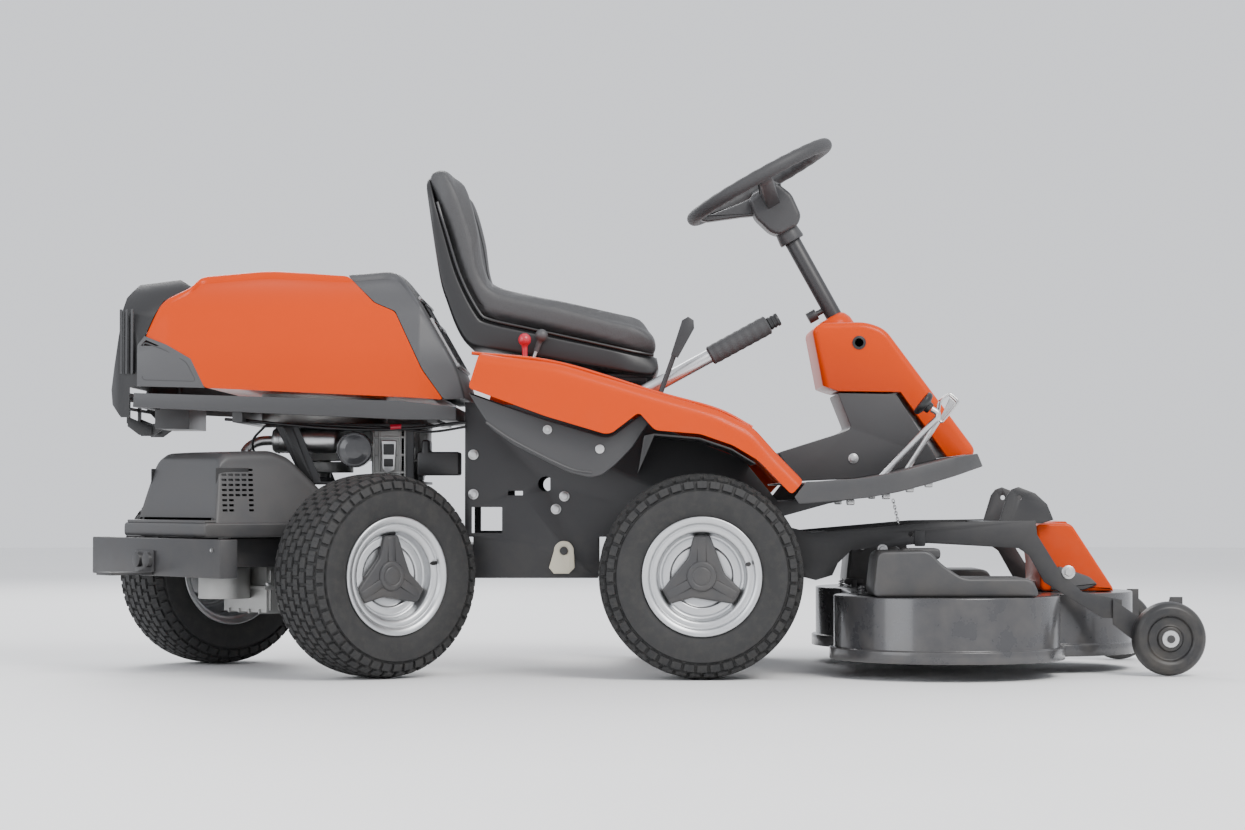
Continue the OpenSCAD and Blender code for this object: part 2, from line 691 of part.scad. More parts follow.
/* ---- levers and pedals ---- */

// the lift lever's own frame: +X runs from its pivot to its tip
module on_lift() on_axle() translate([lift_pivot[0], lift_y, lift_pivot[1]])
  rotate([0, -lift_angle, 0]) children();

module along(x0, x1, r) translate([x0, 0, 0]) rotate([0, 90, 0]) cylinder(r = r, h = x1 - x0);

module lift_lever() color(silver) {
  on_lift() difference() {
    along(0, grip_start + 6, 14);
    along(grip_start - 40, grip_start + 7, 11);
  }
  on_axle() rod_y(lift_pivot[0], lift_pivot[1], 16, lift_y - 12, lift_y + 12);
  on_axle() rod_y(lift_pivot[0], lift_pivot[1], 8, lift_y + 12, -half_frame - gap);
}

module lift_grip() color(dark) on_lift() difference() {
  along(grip_start, grip_start + grip_len, 21);
  along(grip_start - 1, grip_start + 6, 14);
  along(grip_start + 90, grip_start + grip_len + 1, 14 + run_fit);
}

module lift_button() color(black) on_lift() along(grip_start + 110, grip_start + grip_len + 24, 14);

module height_lever() color(dark) on_axle() {
  rod([height_pivot[0], height_y, height_pivot[1]], [-50, height_y, 640], 5);
  slab([[-58, 636], [-44, 630], [-12, 688], [-13, 704], [-24, 711], [-36, 704]],
       height_y - 9, height_y + 9);
  rod_y(height_pivot[0], height_pivot[1], 9, height_y - 10, height_y + 10);
}

module small_lever(y, tip) {
  rod([small_pivot[0], y, small_pivot[1]], [tip[0], y, tip[1]], 4);
  translate([tip[0], y, tip[1]]) sphere(r = 13);
  rod_y(small_pivot[0], small_pivot[1], 8, y - 4, y + 4);
}

module choke_lever() color("#c8102e") on_axle() small_lever(choke_y, [-349, 668]);
module throttle_lever() color(dark) on_axle() small_lever(throttle_y, [-316, 678]);

module forward_pedal() color(silver) on_axle() {
  rod_y(pedal_a[0], pedal_a[1], 7, -280, -245);
  rod([pedal_a[0], -268, pedal_a[1]], [474, -268, 512], 6);
  translate([474, -268, 512]) sphere(r = 8);
  rod([474, -268, 512], [456, -268, 534], 6);
  rod([458, -268, 531], [438, -268, 547], 26);
}

module reverse_pedal() color(silver) on_axle() {
  rod_y(pedal_b[0], pedal_b[1], 7, -230, -200);
  rod([pedal_b[0], -215, pedal_b[1]], [484, -215, 512], 6);
  slab([[476, 508], [486, 500], [524, 548], [502, 566], [482, 548]], -235, -195);
}

module bell_crank() color("#d8d4c4") on_axle() difference() {
  union() {
    rod_y(crank_pin[0], crank_pin[1], 20, -half_frame - 9, -half_frame - 3);
    slab([[-292, 246], [-252, 246], [-250, 212], [-262, 200], [-292, 200], [-302, 212]],
         -half_frame - 9, -half_frame - 3);
  }
  rod_y(crank_pin[0], crank_pin[1], 8 + run_fit, -half_frame - 10, -half_frame);
}

/* ---- cutting unit ---- */

arm_profile = [
  [40, 330], [40, 270], [200, 210], [209, 194], [233, 188], [266, 198], [277, 222],
  [304, 248], [457, 262], [639, 252], [660, 238], [690, 184], [806, 113], [845, 111],
  [845, 149], [765, 165], [716, 214], [676, 279], [673, 307], [467, 304], [225, 283]
];

module equipment_frame() color(black) on_axle() {
  both_sides() difference() {
    slab(arm_profile, -arm_gap / 2 - arm_t / 2, -arm_gap / 2 + arm_t / 2);
    rod_y(frame_pivot[0], frame_pivot[1], pivot_pin_r + run_fit, -arm_gap / 2 - 10, -arm_gap / 2 + 10);
    rod_y(423, 280, 5, -arm_gap / 2 - 10, -arm_gap / 2 + 10);
  }
  box(590, 640, -arm_gap / 2 + arm_t / 2, arm_gap / 2 - arm_t / 2, 290, 304);
  box(240, 280, -arm_gap / 2 + arm_t / 2, arm_gap / 2 - arm_t / 2, 262, 282);
  both_sides() difference() {
    slab([[613, 300], [631, 358], [640, 370], [654, 375], [688, 362], [712, 340], [725, 308],
          [700, 300]], -132, -124);
    rod_y(656, 353, 5, -140, -120);
  }
}

module deck_plan(grow) {
  for (s = [-1, 1]) translate([lobe_x, s * lobe_gap / 2]) circle(r = lobe_r + grow, $fn = 96);
  translate([front_lobe_x, 0]) circle(r = front_lobe_r + grow, $fn = 96);
  translate([lobe_x - lobe_r * 0.8 - grow, -lobe_gap / 2])
    square([front_lobe_x - lobe_x + lobe_r * 0.8 + grow, lobe_gap]);
}

module deck_shell() color(black) on_axle() difference() {
  union() {
    translate([0, 0, deck_clear + 20]) linear_extrude(deck_h - 20) deck_plan(0);
    translate([0, 0, deck_clear]) linear_extrude(24) deck_plan(9);
  }
  translate([0, 0, deck_clear - 1]) linear_extrude(deck_h - deck_t + 1) deck_plan(-deck_t);
  for (s = [-1, 0, 1]) translate([s == 0 ? front_lobe_x : lobe_x, s * spindle_y, 0])
    cylinder(r = spindle_d / 2 + run_fit, h = 400);
}

module deck_cover() color(dark) on_axle() both_sides() {
  difference() {
    slab([[330, deck_top], [339, 249], [441, 251], [462, 226], [505, 197], [640, 197],
          [655, deck_top]], -430, -arm_gap / 2 - 12);
    slab([[334, deck_top - 1], [343, 245], [440, 247], [459, 222], [503, 193], [636, 193],
          [651, deck_top - 1]], -426, -arm_gap / 2 - 16);
  }
}

module belt_cover() color(orange) on_axle() difference() {
  slab([[689, 300], [764, 302], [855, deck_top + 1], [700, deck_top + 1], [700, 216]], -112, 112);
  slab([[640, 294], [761, 297], [849, deck_top], [640, deck_top]], -108, 108);
}

module blade_at(x, y) color(silver) on_axle() translate([x, y, 0]) {
  translate([0, 0, deck_clear + 16]) cylinder(r = spindle_d / 2, h = deck_h + 4);
  translate([0, 0, deck_clear + 16]) difference() {
    rotate([0, 0, 35]) translate([-blade_r, -28, 0]) cube([blade_r * 2, 56, 5]);
    translate([0, 0, -1]) cylinder(r = spindle_d / 2 - 4, h = 7);
  }
  translate([0, 0, deck_top + 4]) cylinder(r = 48, h = 16);
}

module blade_right() blade_at(lobe_x, -spindle_y);
module blade_left() blade_at(lobe_x, spindle_y);
module blade_front() blade_at(front_lobe_x, 0);

module support_brackets() color(black) on_axle() both_sides() {
  slab([[826, 150], [826, 100], [870, 66], [945, 66], [965, 90], [965, 155], [940, 155],
        [930, 110], [870, 120]], -arm_gap / 2 - arm_t / 2 - 6, -arm_gap / 2 - arm_t / 2 - gap);
  rod_y(support_x, support_z, 8, -support_y - support_w / 2 - 4, -arm_gap / 2 - arm_t / 2 - 5);
}

module support_wheel_form() rotate([90, 0, 0]) difference() {
  rotate_extrude($fn = 64) translate([0, -support_w / 2]) polygon([
    [8 + run_fit, 4], [support_z - 24, 4], [support_z - 16, 0], [support_z - 6, 2],
    [support_z, 10], [support_z, support_w - 10], [support_z - 6, support_w - 2],
    [support_z - 16, support_w], [support_z - 24, support_w - 8], [30, support_w - 10],
    [24, support_w], [8 + run_fit, support_w]
  ]);
}

module support_wheel_right() color(black) on_axle() translate([support_x, -support_y, support_z])
  support_wheel_form();
module support_wheel_left() color(black) on_axle() translate([support_x, support_y, support_z])
  mirror([0, 1, 0]) support_wheel_form();

main_frame();
front_axle();
pivot_bracket();
engine_block();
muffler();
air_filter();
battery_box();
fuel_tank();
hood_rail();
side_cover_right();
side_cover_left();
lower_shields();
arch_liners();
floor_tower();
footplate();
cowl();
steering_column();
lever_console();
fasteners();
hood_shell();
hood_front_grille();
hood_rear_cap();
hood_corner_panels();
seat_pan();
seat_pad();
steering_rim();
steering_hub();
rear_frame();
transaxle();
rear_cover();
counterweight_bar();
tow_hitch();
front_tyre_right();
front_tyre_left();
rear_tyre_right();
rear_tyre_left();
front_rim_right();
front_rim_left();
rear_rim_right();
rear_rim_left();
lift_lever();
lift_grip();
lift_button();
height_lever();
throttle_lever();
choke_lever();
forward_pedal();
reverse_pedal();
bell_crank();
equipment_frame();
deck_shell();
deck_cover();
belt_cover();
blade_right();
blade_left();
blade_front();
support_brackets();
support_wheel_right();
support_wheel_left();
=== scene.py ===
"""Riding lawn mower with a front cutting deck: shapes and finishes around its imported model.

Outlines are given as (x, z) in millimetres from the front axle line and the ground, like the
design itself, and place() turns them into metres in the model's own frame.
"""
import json
from math import cos, pi, radians, sin

import bmesh
import bpy
import numpy as np
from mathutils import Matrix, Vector


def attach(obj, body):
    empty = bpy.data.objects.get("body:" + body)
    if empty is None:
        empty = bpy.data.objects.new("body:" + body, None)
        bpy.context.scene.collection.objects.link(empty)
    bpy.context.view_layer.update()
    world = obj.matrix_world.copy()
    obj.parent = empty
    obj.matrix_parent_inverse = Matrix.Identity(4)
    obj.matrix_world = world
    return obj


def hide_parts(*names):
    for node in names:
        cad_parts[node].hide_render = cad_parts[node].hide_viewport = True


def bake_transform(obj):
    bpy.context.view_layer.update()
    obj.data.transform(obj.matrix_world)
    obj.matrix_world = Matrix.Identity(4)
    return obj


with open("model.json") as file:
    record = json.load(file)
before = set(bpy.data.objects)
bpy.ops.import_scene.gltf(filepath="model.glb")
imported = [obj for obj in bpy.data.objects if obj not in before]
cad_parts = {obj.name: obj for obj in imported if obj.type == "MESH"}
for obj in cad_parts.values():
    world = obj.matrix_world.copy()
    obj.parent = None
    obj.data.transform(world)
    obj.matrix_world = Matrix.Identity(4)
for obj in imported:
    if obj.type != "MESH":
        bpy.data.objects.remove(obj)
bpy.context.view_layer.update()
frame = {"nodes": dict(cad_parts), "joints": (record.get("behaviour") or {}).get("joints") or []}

bl_info = {
    "name": "Riding lawn mower",
    "version": (1, 0),
    "blender": (4, 5, 0),
    "location": "View3D > Sidebar > Mower",
    "description": "Builds the mower's detailed shapes and finishes on its fixed frame",
    "category": "Object",
}

MM = 0.001
JOINTS = {joint["name"]: joint for joint in frame["joints"]}


def joint_place(name):
    """Where a joint stands, in metres in the model's frame."""
    return np.array(JOINTS[name]["pos_m"], float)


AXLE_X = joint_place("front_wheel_right_spin")[0]
KINGPIN = joint_place("rear_steer")
REAR_AXLE = np.array(JOINTS["rear_wheel_right_spin"]["axis"], float)
COLUMN = np.array(JOINTS["steering_wheel_turn"]["axis"], float)
TURN = np.arctan2(-REAR_AXLE[0], REAR_AXLE[1])      # how far the rear unit stands turned


# ---------------------------------------------------------------- places and outlines

def place(points):
    """Millimetres from the front axle line to metres in the model's frame."""
    out = np.array(points, float) * MM
    out[..., 0] += AXLE_X
    return out


def turned(points):
    """Millimetres from the kingpin of the straight rear unit to where the unit stands:
    a turn about the kingpin's upright axis, then a shift to the kingpin."""
    p = np.array(points, float) * MM
    x = p[..., 0] * cos(TURN) - p[..., 1] * sin(TURN) + KINGPIN[0]
    y = p[..., 0] * sin(TURN) + p[..., 1] * cos(TURN)
    return np.stack([x, y, p[..., 2]], -1)


def at_side(line, y):
    """A side outline's (x, z) points, or a line of them, set at one or more values of y."""
    return place(np.column_stack([line[:, 0], np.broadcast_to(y, len(line)), line[:, 1]]))


def soften(points, radius, steps=5, closed=False):
    """A polyline with each corner replaced by a parabola: it leaves one edge and joins the next
    at a distance of radius, or at 0.45 of the shorter edge where that is less."""
    p = np.array(points, float)
    before, after = np.roll(p, 1, 0), np.roll(p, -1, 0)
    back, ahead = before - p, after - p
    lb, la = np.linalg.norm(back, axis=1), np.linalg.norm(ahead, axis=1)
    reach = np.minimum(radius, 0.45 * np.minimum(lb, la))
    if not closed:
        reach[[0, -1]] = 0
    a = p + back * (reach / np.maximum(lb, 1e-9))[:, None]
    b = p + ahead * (reach / np.maximum(la, 1e-9))[:, None]
    t = np.linspace(0, 1, steps)[None, :, None]
    arc = a[:, None] * (1 - t) ** 2 + 2 * p[:, None] * t * (1 - t) + b[:, None] * t ** 2
    if closed:
        return arc.reshape(-1, p.shape[1])
    return np.concatenate([p[:1], arc[1:-1].reshape(-1, p.shape[1]), p[-1:]])


def evenly(line, count):
    """Points at equal distances along a polyline."""
    line = np.asarray(line, float)
    length = np.concatenate([[0], np.cumsum(np.linalg.norm(np.diff(line, axis=0), axis=1))])
    at = np.linspace(0, length[-1], count)
    return np.stack([np.interp(at, length, line[:, k]) for k in range(line.shape[1])], 1)


def curve_through(points, count=24):
    """A smooth path: the Catmull-Rom cubic through the points, evenly sampled."""
    p = np.array(points, float)
    p = np.concatenate([2 * p[:1] - p[1:2], p, 2 * p[-1:] - p[-2:-1]])
    t = np.linspace(0, 1, 12, endpoint=False)[None, :, None]
    a, b, c, d = p[:-3, None], p[1:-2, None], p[2:-1, None], p[3:, None]
    q = 0.5 * (2 * b + (c - a) * t + (2 * a - 5 * b + 4 * c - d) * t ** 2
               + (3 * b - a - 3 * c + d) * t ** 3)
    return evenly(np.concatenate([q.reshape(-1, p.shape[1]), p[-2:-1]]), count)


def run_through(knots, count, blur):
    """Samples between knots at equal steps per knot, with corners rounded by a moving mean."""
    k = np.array(knots, float)
    at = np.linspace(0, len(k) - 1, count)
    line = np.stack([np.interp(at, np.arange(len(k)), k[:, c]) for c in range(k.shape[1])], 1)
    for _ in range(blur):
        line[1:-1] = (line[:-2] + 2 * line[1:-1] + line[2:]) / 4
    return line


# ---------------------------------------------------------------- sheets of faces

class Sheet:
    """Vertices in metres with the faces that join them."""

    def __init__(self, points, faces):
        self.points = np.asarray(points, float).reshape(-1, 3)
        self.faces = [tuple(int(i) for i in f) for f in faces]

    def __add__(self, other):
        shift = len(self.points)
        return Sheet(np.concatenate([self.points, other.points]),
                     self.faces + [tuple(i + shift for i in f) for f in other.faces])

    def mirrored(self):
        """The same sheet on the other side of the machine."""
        return Sheet(self.points * [1, -1, 1], [f[::-1] for f in self.faces])

    def paired(self):
        """The sheet together with its mirror image."""
        return self + self.mirrored()


def joined(sheets):
    """Several sheets as one."""
    first, *rest = sheets
    return sum(rest, first)


def grid(points, around=False, ends=False):
    """A grid of points, rows by columns, as quads. around joins the last column to the first,
    and ends closes the first and last rows."""
    n, m = points.shape[:2]
    row, col = np.meshgrid(np.arange(n - 1), np.arange(m if around else m - 1), indexing="ij")
    nxt = (col + 1) % m
    quads = np.stack([row * m + col, row * m + nxt, (row + 1) * m + nxt, (row + 1) * m + col], -1)
    faces = quads.reshape(-1, 4).tolist()
    if ends:
        faces += [list(range(m))[::-1], [(n - 1) * m + i for i in range(m)]]
    return Sheet(points.reshape(-1, 3), faces)


def frame_of(direction):
    """Two unit vectors square to each direction and to each other."""
    d = np.asarray(direction, float)
    d = d / np.linalg.norm(d, axis=-1, keepdims=True)
    ref = np.zeros(3)
    ref[np.argmin(np.abs(d.reshape(-1, 3)).mean(0))] = 1
    u = np.cross(d, ref)
    u /= np.linalg.norm(u, axis=-1, keepdims=True)
    return u, np.cross(d, u)


def tube(path, radius, sides=12):
    """A round bar: a circle carried square to the path, its radius a number or one per point."""
    path = np.asarray(path, float)
    u, v = frame_of(np.gradient(path, axis=0))
    a = np.linspace(0, 2 * pi, sides, endpoint=False)[None, :, None]
    r = np.broadcast_to(np.asarray(radius, float), len(path))[:, None, None]
    return grid(path[:, None] + r * (u[:, None] * np.cos(a) + v[:, None] * np.sin(a)), True, True)


def turned_solid(profile, centre, axis, segments=48):
    """A lathe shape: (radius, height) points turned about an axis through centre. Where the
    profile starts or ends on the axis, the tip shrinks to almost nothing and is closed."""
    prof = np.array(profile, float)
    prof[:, 0] = np.maximum(prof[:, 0], 1e-5)
    d = np.asarray(axis, float) / np.linalg.norm(axis)
    u, v = frame_of(d)
    a = np.linspace(0, 2 * pi, segments, endpoint=False)[None, :, None]
    ring = u * np.cos(a) + v * np.sin(a)
    pts = np.asarray(centre) + prof[:, :1, None] * ring + prof[:, 1:, None] * d
    return grid(pts, True, True)


def rounded_slab(outline, y0, y1, corner=4.0, edge=2.0, steps=4, where=place):
    """A plate: a closed outline with softened corners, carried from y0 to y1, its rims rounded
    by a quarter circle that draws the outline in as it nears each flat face."""
    p = soften(outline, corner, steps, True)
    if np.sum(p[:, 0] * np.roll(p[:, 1], -1) - p[:, 1] * np.roll(p[:, 0], -1)) < 0:
        p = p[::-1]
    along = np.roll(p, -1, 0) - np.roll(p, 1, 0)
    along /= np.maximum(np.linalg.norm(along, axis=1, keepdims=True), 1e-9)
    inward = np.stack([-along[:, 1], along[:, 0]], 1)
    e = min(edge, 0.45 * abs(y1 - y0))
    f = np.linspace(0, pi / 2, steps)
    inset = np.concatenate([e * (1 - np.sin(f)), e * (1 - np.sin(f[::-1]))])
    y = np.concatenate([y0 + e * (1 - np.cos(f)), y1 - e * (1 - np.cos(f[::-1]))])
    rings = p[None] + inward[None] * inset[:, None, None]
    pts = np.stack([rings[..., 0], np.broadcast_to(y[:, None], rings.shape[:2]), rings[..., 1]], -1)
    return grid(where(pts), True, True)


def block(x0, x1, y0, y1, z0, z1, edge=2.0, where=place):
    """A box with rounded corners and rims, as a rounded slab of its side outline."""
    return rounded_slab([(x0, z0), (x1, z0), (x1, z1), (x0, z1)], y0, y1, 1.8 * edge, edge,
                        where=where)


def draped(pairs, half, count, blur, radius, lean, inner=None, where=place):
    """A cover: at each station the skin climbs a side wall from its low point to its top point,
    rounds a quarter circle of radius, and crosses to the other wall, or to inner if it is given.
    lean draws the wall in by that share of its height."""
    line = run_through([low + top for low, top in pairs], count, blur)
    low, top = line[:, None, :2], line[:, None, 2:]
    tall = np.linalg.norm(top - low, axis=-1, keepdims=True)
    up = (top - low) / np.maximum(tall, 1e-6)
    width = np.full((count, 1), float(half))
    r = np.minimum(radius, 0.9 * tall)
    a = np.linspace(0, 1, 9)[None, :, None]
    lean = lean * tall[..., 0]
    wall = low + (tall - r) * up * a
    wall_y = width - lean * a[..., 0] * np.ones_like(width)
    f = np.linspace(0, pi / 2, 7)[None, 1:, None]
    bend = top - up * r * (1 - np.sin(f))
    bend_y = width - lean - r[..., 0] * (1 - np.cos(f[..., 0]))
    end = -1.0 if inner is None else 0.0
    s = np.linspace(1, end, 25 if inner is None else 13)[None, 1:]
    if inner is None:
        flat_y = (width - lean - r[..., 0]) * s
    else:
        flat_y = inner + (width - lean - r[..., 0] - inner) * s
    flat = top * np.ones_like(flat_y)[..., None]
    xz = [wall, bend, flat]
    y = [wall_y, bend_y, flat_y]
    if inner is None:
        xz += [bend[:, ::-1][:, 1:], wall[:, ::-1]]
        y += [-bend_y[:, ::-1][:, 1:], -wall_y[:, ::-1]]
    xz = np.concatenate([np.broadcast_to(q, (count,) + q.shape[1:]) for q in xz], 1)
    y = -np.concatenate([np.broadcast_to(q, (count,) + q.shape[1:]) for q in y], 1)
    return grid(where(np.stack([xz[..., 0], y, xz[..., 1]], -1)))


def hex_bolt(at, axis, radius=0.008, height=0.005):
    """A washer, a six-sided head with a domed top, and the stub of its thread."""
    a = np.asarray(axis, float) / np.linalg.norm(axis)
    r, h = radius, height
    washer = turned_solid([(0, 0), (r * 1.45, 0), (r * 1.5, h * 0.2), (r * 1.35, h * 0.35), (0, h * 0.35)],
                          at, a, 24)
    head = turned_solid([(r, h * 0.35), (r, h * 1.1), (r * 0.84, h * 1.3), (0, h * 1.3)], at, a, 6)
    return washer + head


def spring(start, end, radius, wire, turns):
    """A helix: a circle of the given radius carried from start to end while it turns."""
    start, end = np.asarray(start, float), np.asarray(end, float)
    u, v = frame_of(end - start)
    t = np.linspace(0, 1, int(turns * 14))[:, None]
    a = t * turns * 2 * pi
    return tube(start + (end - start) * t + radius * (u * np.cos(a) + v * np.sin(a)), wire, 8)


# ---------------------------------------------------------------- objects

def make(name, sheet, sharp=40, merge=True):
    """An object from a sheet, with doubled points merged, faces turned outwards and soft
    shading where the faces meet at less than the sharp angle."""
    mesh = bpy.data.meshes.new(name)
    mesh.from_pydata(sheet.points, [], sheet.faces)
    mesh.update()
    piece = bpy.data.objects.new(name, mesh)
    bpy.context.scene.collection.objects.link(piece)
    tidy(piece, sharp, merge)
    return piece


def tidy(piece, sharp, merge=True):
    """Merges doubled points, turns the faces outwards and sets the sharp edges."""
    bm = bmesh.new()
    bm.from_mesh(piece.data)
    if merge:
        bmesh.ops.remove_doubles(bm, verts=bm.verts, dist=2e-5)
        bmesh.ops.dissolve_degenerate(bm, edges=bm.edges, dist=1e-5)
    bmesh.ops.recalc_face_normals(bm, faces=bm.faces)
    bm.to_mesh(piece.data)
    bm.free()
    piece.data.shade_smooth()
    piece.data.set_sharp_from_angle(angle=radians(sharp))


def bake_modifiers(piece):
    """Replaces the mesh with what its modifiers make of it."""
    graph = bpy.context.evaluated_depsgraph_get()
    mesh = bpy.data.meshes.new_from_object(piece.evaluated_get(graph))
    piece.modifiers.clear()
    old, piece.data = piece.data, mesh
    bpy.data.meshes.remove(old)


def thicken(piece, wall):
    """Gives an open skin a wall, inwards from its surface."""
    mod = piece.modifiers.new("wall", "SOLIDIFY")
    mod.thickness = wall
    mod.offset = -1.0
    mod.use_even_offset = True
    bake_modifiers(piece)


def bevel(piece, width, angle=32):
    """Eases the edges that are sharper than an angle, and hands back the modifier."""
    mod = piece.modifiers.new("edge", "BEVEL")
    mod.width = width
    mod.segments = 2
    mod.limit_method = "ANGLE"
    mod.angle_limit = radians(angle)
    mod.harden_normals = False
    return mod


def carve(piece, cutter, operation="DIFFERENCE"):
    """Cuts a piece with another solid, or keeps only what they share, and drops the cutter."""
    mod = piece.modifiers.new("cut", "BOOLEAN")
    mod.operation = operation
    mod.solver = "EXACT"
    mod.object = cutter
    bpy.context.view_layer.update()
    bake_modifiers(piece)
    bpy.data.objects.remove(cutter)
    if not piece.data.polygons:
        raise RuntimeError(f"{piece.name} was cut away entirely")


def prism(outline, y0, y1):
    """A straight-sided cutter from an outline."""
    p = np.array(outline, float)
    if np.sum(p[:, 0] * np.roll(p[:, 1], -1) - p[:, 1] * np.roll(p[:, 0], -1)) < 0:
        p = p[::-1]
    pts = np.stack([np.column_stack([p[:, 0], np.full(len(p), y), p[:, 1]]) for y in (y0, y1)])
    return grid(place(pts), True, True)


def finish_piece(piece, body, finish, replaces=()):
    """Gives a piece its finish, its body and the CAD nodes it stands for."""
    piece.data.materials.clear()
    piece.data.materials.append(FINISH[finish])
    piece.data.polygons.foreach_set("material_index", [0] * len(piece.data.polygons))
    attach(piece, body)
    if replaces:
        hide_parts(*replaces)
    return piece


def copy_of(node, name, width):
    """A copy of a CAD node with its loose triangles merged, flat areas joined and edges eased."""
    source = frame["nodes"][node]
    piece = bpy.data.objects.new(name, source.data.copy())
    bpy.context.scene.collection.objects.link(piece)
    bm = bmesh.new()
    bm.from_mesh(piece.data)
    bmesh.ops.remove_doubles(bm, verts=bm.verts, dist=2e-5)
    bmesh.ops.dissolve_limit(bm, angle_limit=radians(1.0), verts=bm.verts, edges=bm.edges)
    bmesh.ops.recalc_face_normals(bm, faces=bm.faces)
    bm.to_mesh(piece.data)
    bm.free()
    normals = piece.data.attributes.get("custom_normal")
    if normals:
        piece.data.attributes.remove(normals)
    piece.data.shade_smooth()
    piece.data.set_sharp_from_angle(angle=radians(32))
    bevel(piece, width * MM).use_clamp_overlap = True
    bake_modifiers(piece)
    piece.data.shade_smooth()
    piece.data.set_sharp_from_angle(angle=radians(50))
    return piece


# ---------------------------------------------------------------- materials

class Value:
    """A shader value that can be used in ordinary arithmetic."""

    def __init__(self, graph, socket):
        self.graph = graph
        self.socket = socket

    def _with(self, operation, other, swap=False):
        a, b = (other, self) if swap else (self, other)
        return self.graph.node("ShaderNodeMath", {"operation": operation}, {0: a, 1: b})

    def __add__(self, other):
        return self._with("ADD", other)

    def __sub__(self, other):
        return self._with("SUBTRACT", other)

    def __mul__(self, other):
        return self._with("MULTIPLY", other)

    __radd__ = __add__
    __rmul__ = __mul__

    def __rsub__(self, other):
        return self._with("SUBTRACT", other, True)

    def __truediv__(self, other):
        return self._with("DIVIDE", other)

    def clamped(self, low, high):
        """Stretches low..high to 0..1 and clips outside it."""
        return self.graph.node("ShaderNodeMapRange", {"clamp": True},
                               {0: self, 1: low, 2: high, 3: 0.0, 4: 1.0})


class Graph:
    """The node tree of one material."""

    def __init__(self, name, **constants):
        self.material = bpy.data.materials.new(name)
        self.material.use_nodes = True
        self.tree = self.material.node_tree
        self.shader = self.tree.nodes["Principled BSDF"]
        self.coords = self.node("ShaderNodeTexCoord", output="Object")
        for key, value in constants.items():
            self.shader.inputs[key.replace("_", " ")].default_value = value

    def node(self, kind, settings=None, inputs=None, output=0):
        """Any node: its type, its settings, and the values or links of its sockets."""
        made = self.tree.nodes.new(kind)
        for key, value in (settings or {}).items():
            setattr(made, key, value)
        for key, value in (inputs or {}).items():
            if isinstance(value, Value):
                self.tree.links.new(value.socket, made.inputs[key])
            elif isinstance(value, (tuple, list, np.ndarray)) and len(value) == 3 \
                    and made.inputs[key].type == "RGBA":
                made.inputs[key].default_value = (*value, 1)
            else:
                made.inputs[key].default_value = value
        return Value(self, made.outputs[output])

    def noise(self, scale, detail=3.0, rough=0.5, stretch=None):
        """Fractal noise over the object, its space scaled per axis by stretch."""
        where = self.coords
        if stretch:
            where = self.node("ShaderNodeMapping", {}, {"Vector": where, "Scale": stretch})
        return self.node("ShaderNodeTexNoise", {}, {"Vector": where, "Scale": scale, "Detail": detail,
                                                   "Roughness": rough}, "Fac")

    def cells(self, scale, feature="F1"):
        """Distance to the nearest cell point, or to the nearest border between cells."""
        return self.node("ShaderNodeTexVoronoi", {"feature": feature},
                         {"Vector": self.coords, "Scale": scale}, "Distance")

    def height(self):
        """Height above the ground, in metres."""
        return self.node("ShaderNodeSeparateXYZ", {}, {"Vector": self.coords}, "Z")

    def mix(self, amount, a, b):
        """Colour a turning into colour b as the amount goes from 0 to 1."""
        return self.node("ShaderNodeMix", {"data_type": "RGBA"}, {0: amount, 6: a, 7: b}, 2)

    def bump(self, height, strength, distance, normal=None):
        """A normal tilted by a height, laid over another normal if one is given."""
        inputs = {"Height": height, "Strength": strength, "Distance": distance}
        if normal is not None:
            inputs["Normal"] = normal
        return self.node("ShaderNodeBump", {}, inputs, "Normal")

    def feed(self, **links):
        """Links values to the shader's sockets by name and hands back the material."""
        for key, value in links.items():
            self.tree.links.new(value.socket, self.shader.inputs[key.replace("_", " ")])
        return self.material


def shade(colour, factor):
    """A colour made darker or lighter."""
    return tuple(min(1.0, c * factor) for c in colour)


def moulded(name, colour, rough, grain, coat=0.0):
    """Moulded plastic: a fine grain, slow tone changes, light scuffs and dust near the ground."""
    g = Graph(name, Specular_IOR_Level=0.5, Coat_Weight=coat, Coat_Roughness=0.12)
    tone = g.noise(5, 4, 0.55)
    scuff = g.noise(90, 6, 0.7, (1, 1, 0.25)).clamped(0.63, 0.75)
    dust = (1 - g.height().clamped(0.05, 0.5)) * g.noise(14, 5, 0.65).clamped(0.42, 0.75)
    base = g.mix(tone, shade(colour, 0.93), shade(colour, 1.07))
    base = g.mix(scuff * 0.12, base, shade(colour, 1.35))
    base = g.mix(dust * 0.22, base, (0.20, 0.17, 0.13))
    fine = g.cells(grain) * 0.6 + g.noise(grain * 1.7, 2) * 0.4
    normal = g.bump(fine, 0.16, 0.0006)
    return g.feed(Base_Color=base, Roughness=(tone * 0.08 + scuff * 0.12 + dust * 0.2 + (rough - 0.04)),
                  Normal=g.bump(g.noise(9, 2), 0.05, 0.004, normal))


def glossy_orange(name, colour):
    """Glossy coloured plastic: a faint orange-peel waviness, hairline swirls and slight fading."""
    g = Graph(name, Specular_IOR_Level=0.14, Coat_Weight=0.06, Coat_Roughness=0.12)
    tone = g.noise(3.2, 3, 0.5)
    hair = g.noise(160, 3, 0.6, (0.15, 1, 1)).clamped(0.64, 0.72)
    dust = (1 - g.height().clamped(0.12, 0.6)) * g.noise(18, 5, 0.65).clamped(0.45, 0.8)
    base = g.mix(tone, shade(colour, 0.95), shade(colour, 1.05))
    base = g.mix(dust * 0.14, base, (0.30, 0.22, 0.14))
    peel = g.bump(g.noise(420, 2), 0.06, 0.0004)
    return g.feed(Base_Color=base, Roughness=tone * 0.07 + hair * 0.1 + dust * 0.15 + 0.27,
                  Normal=g.bump(g.noise(7, 2), 0.06, 0.004, peel))


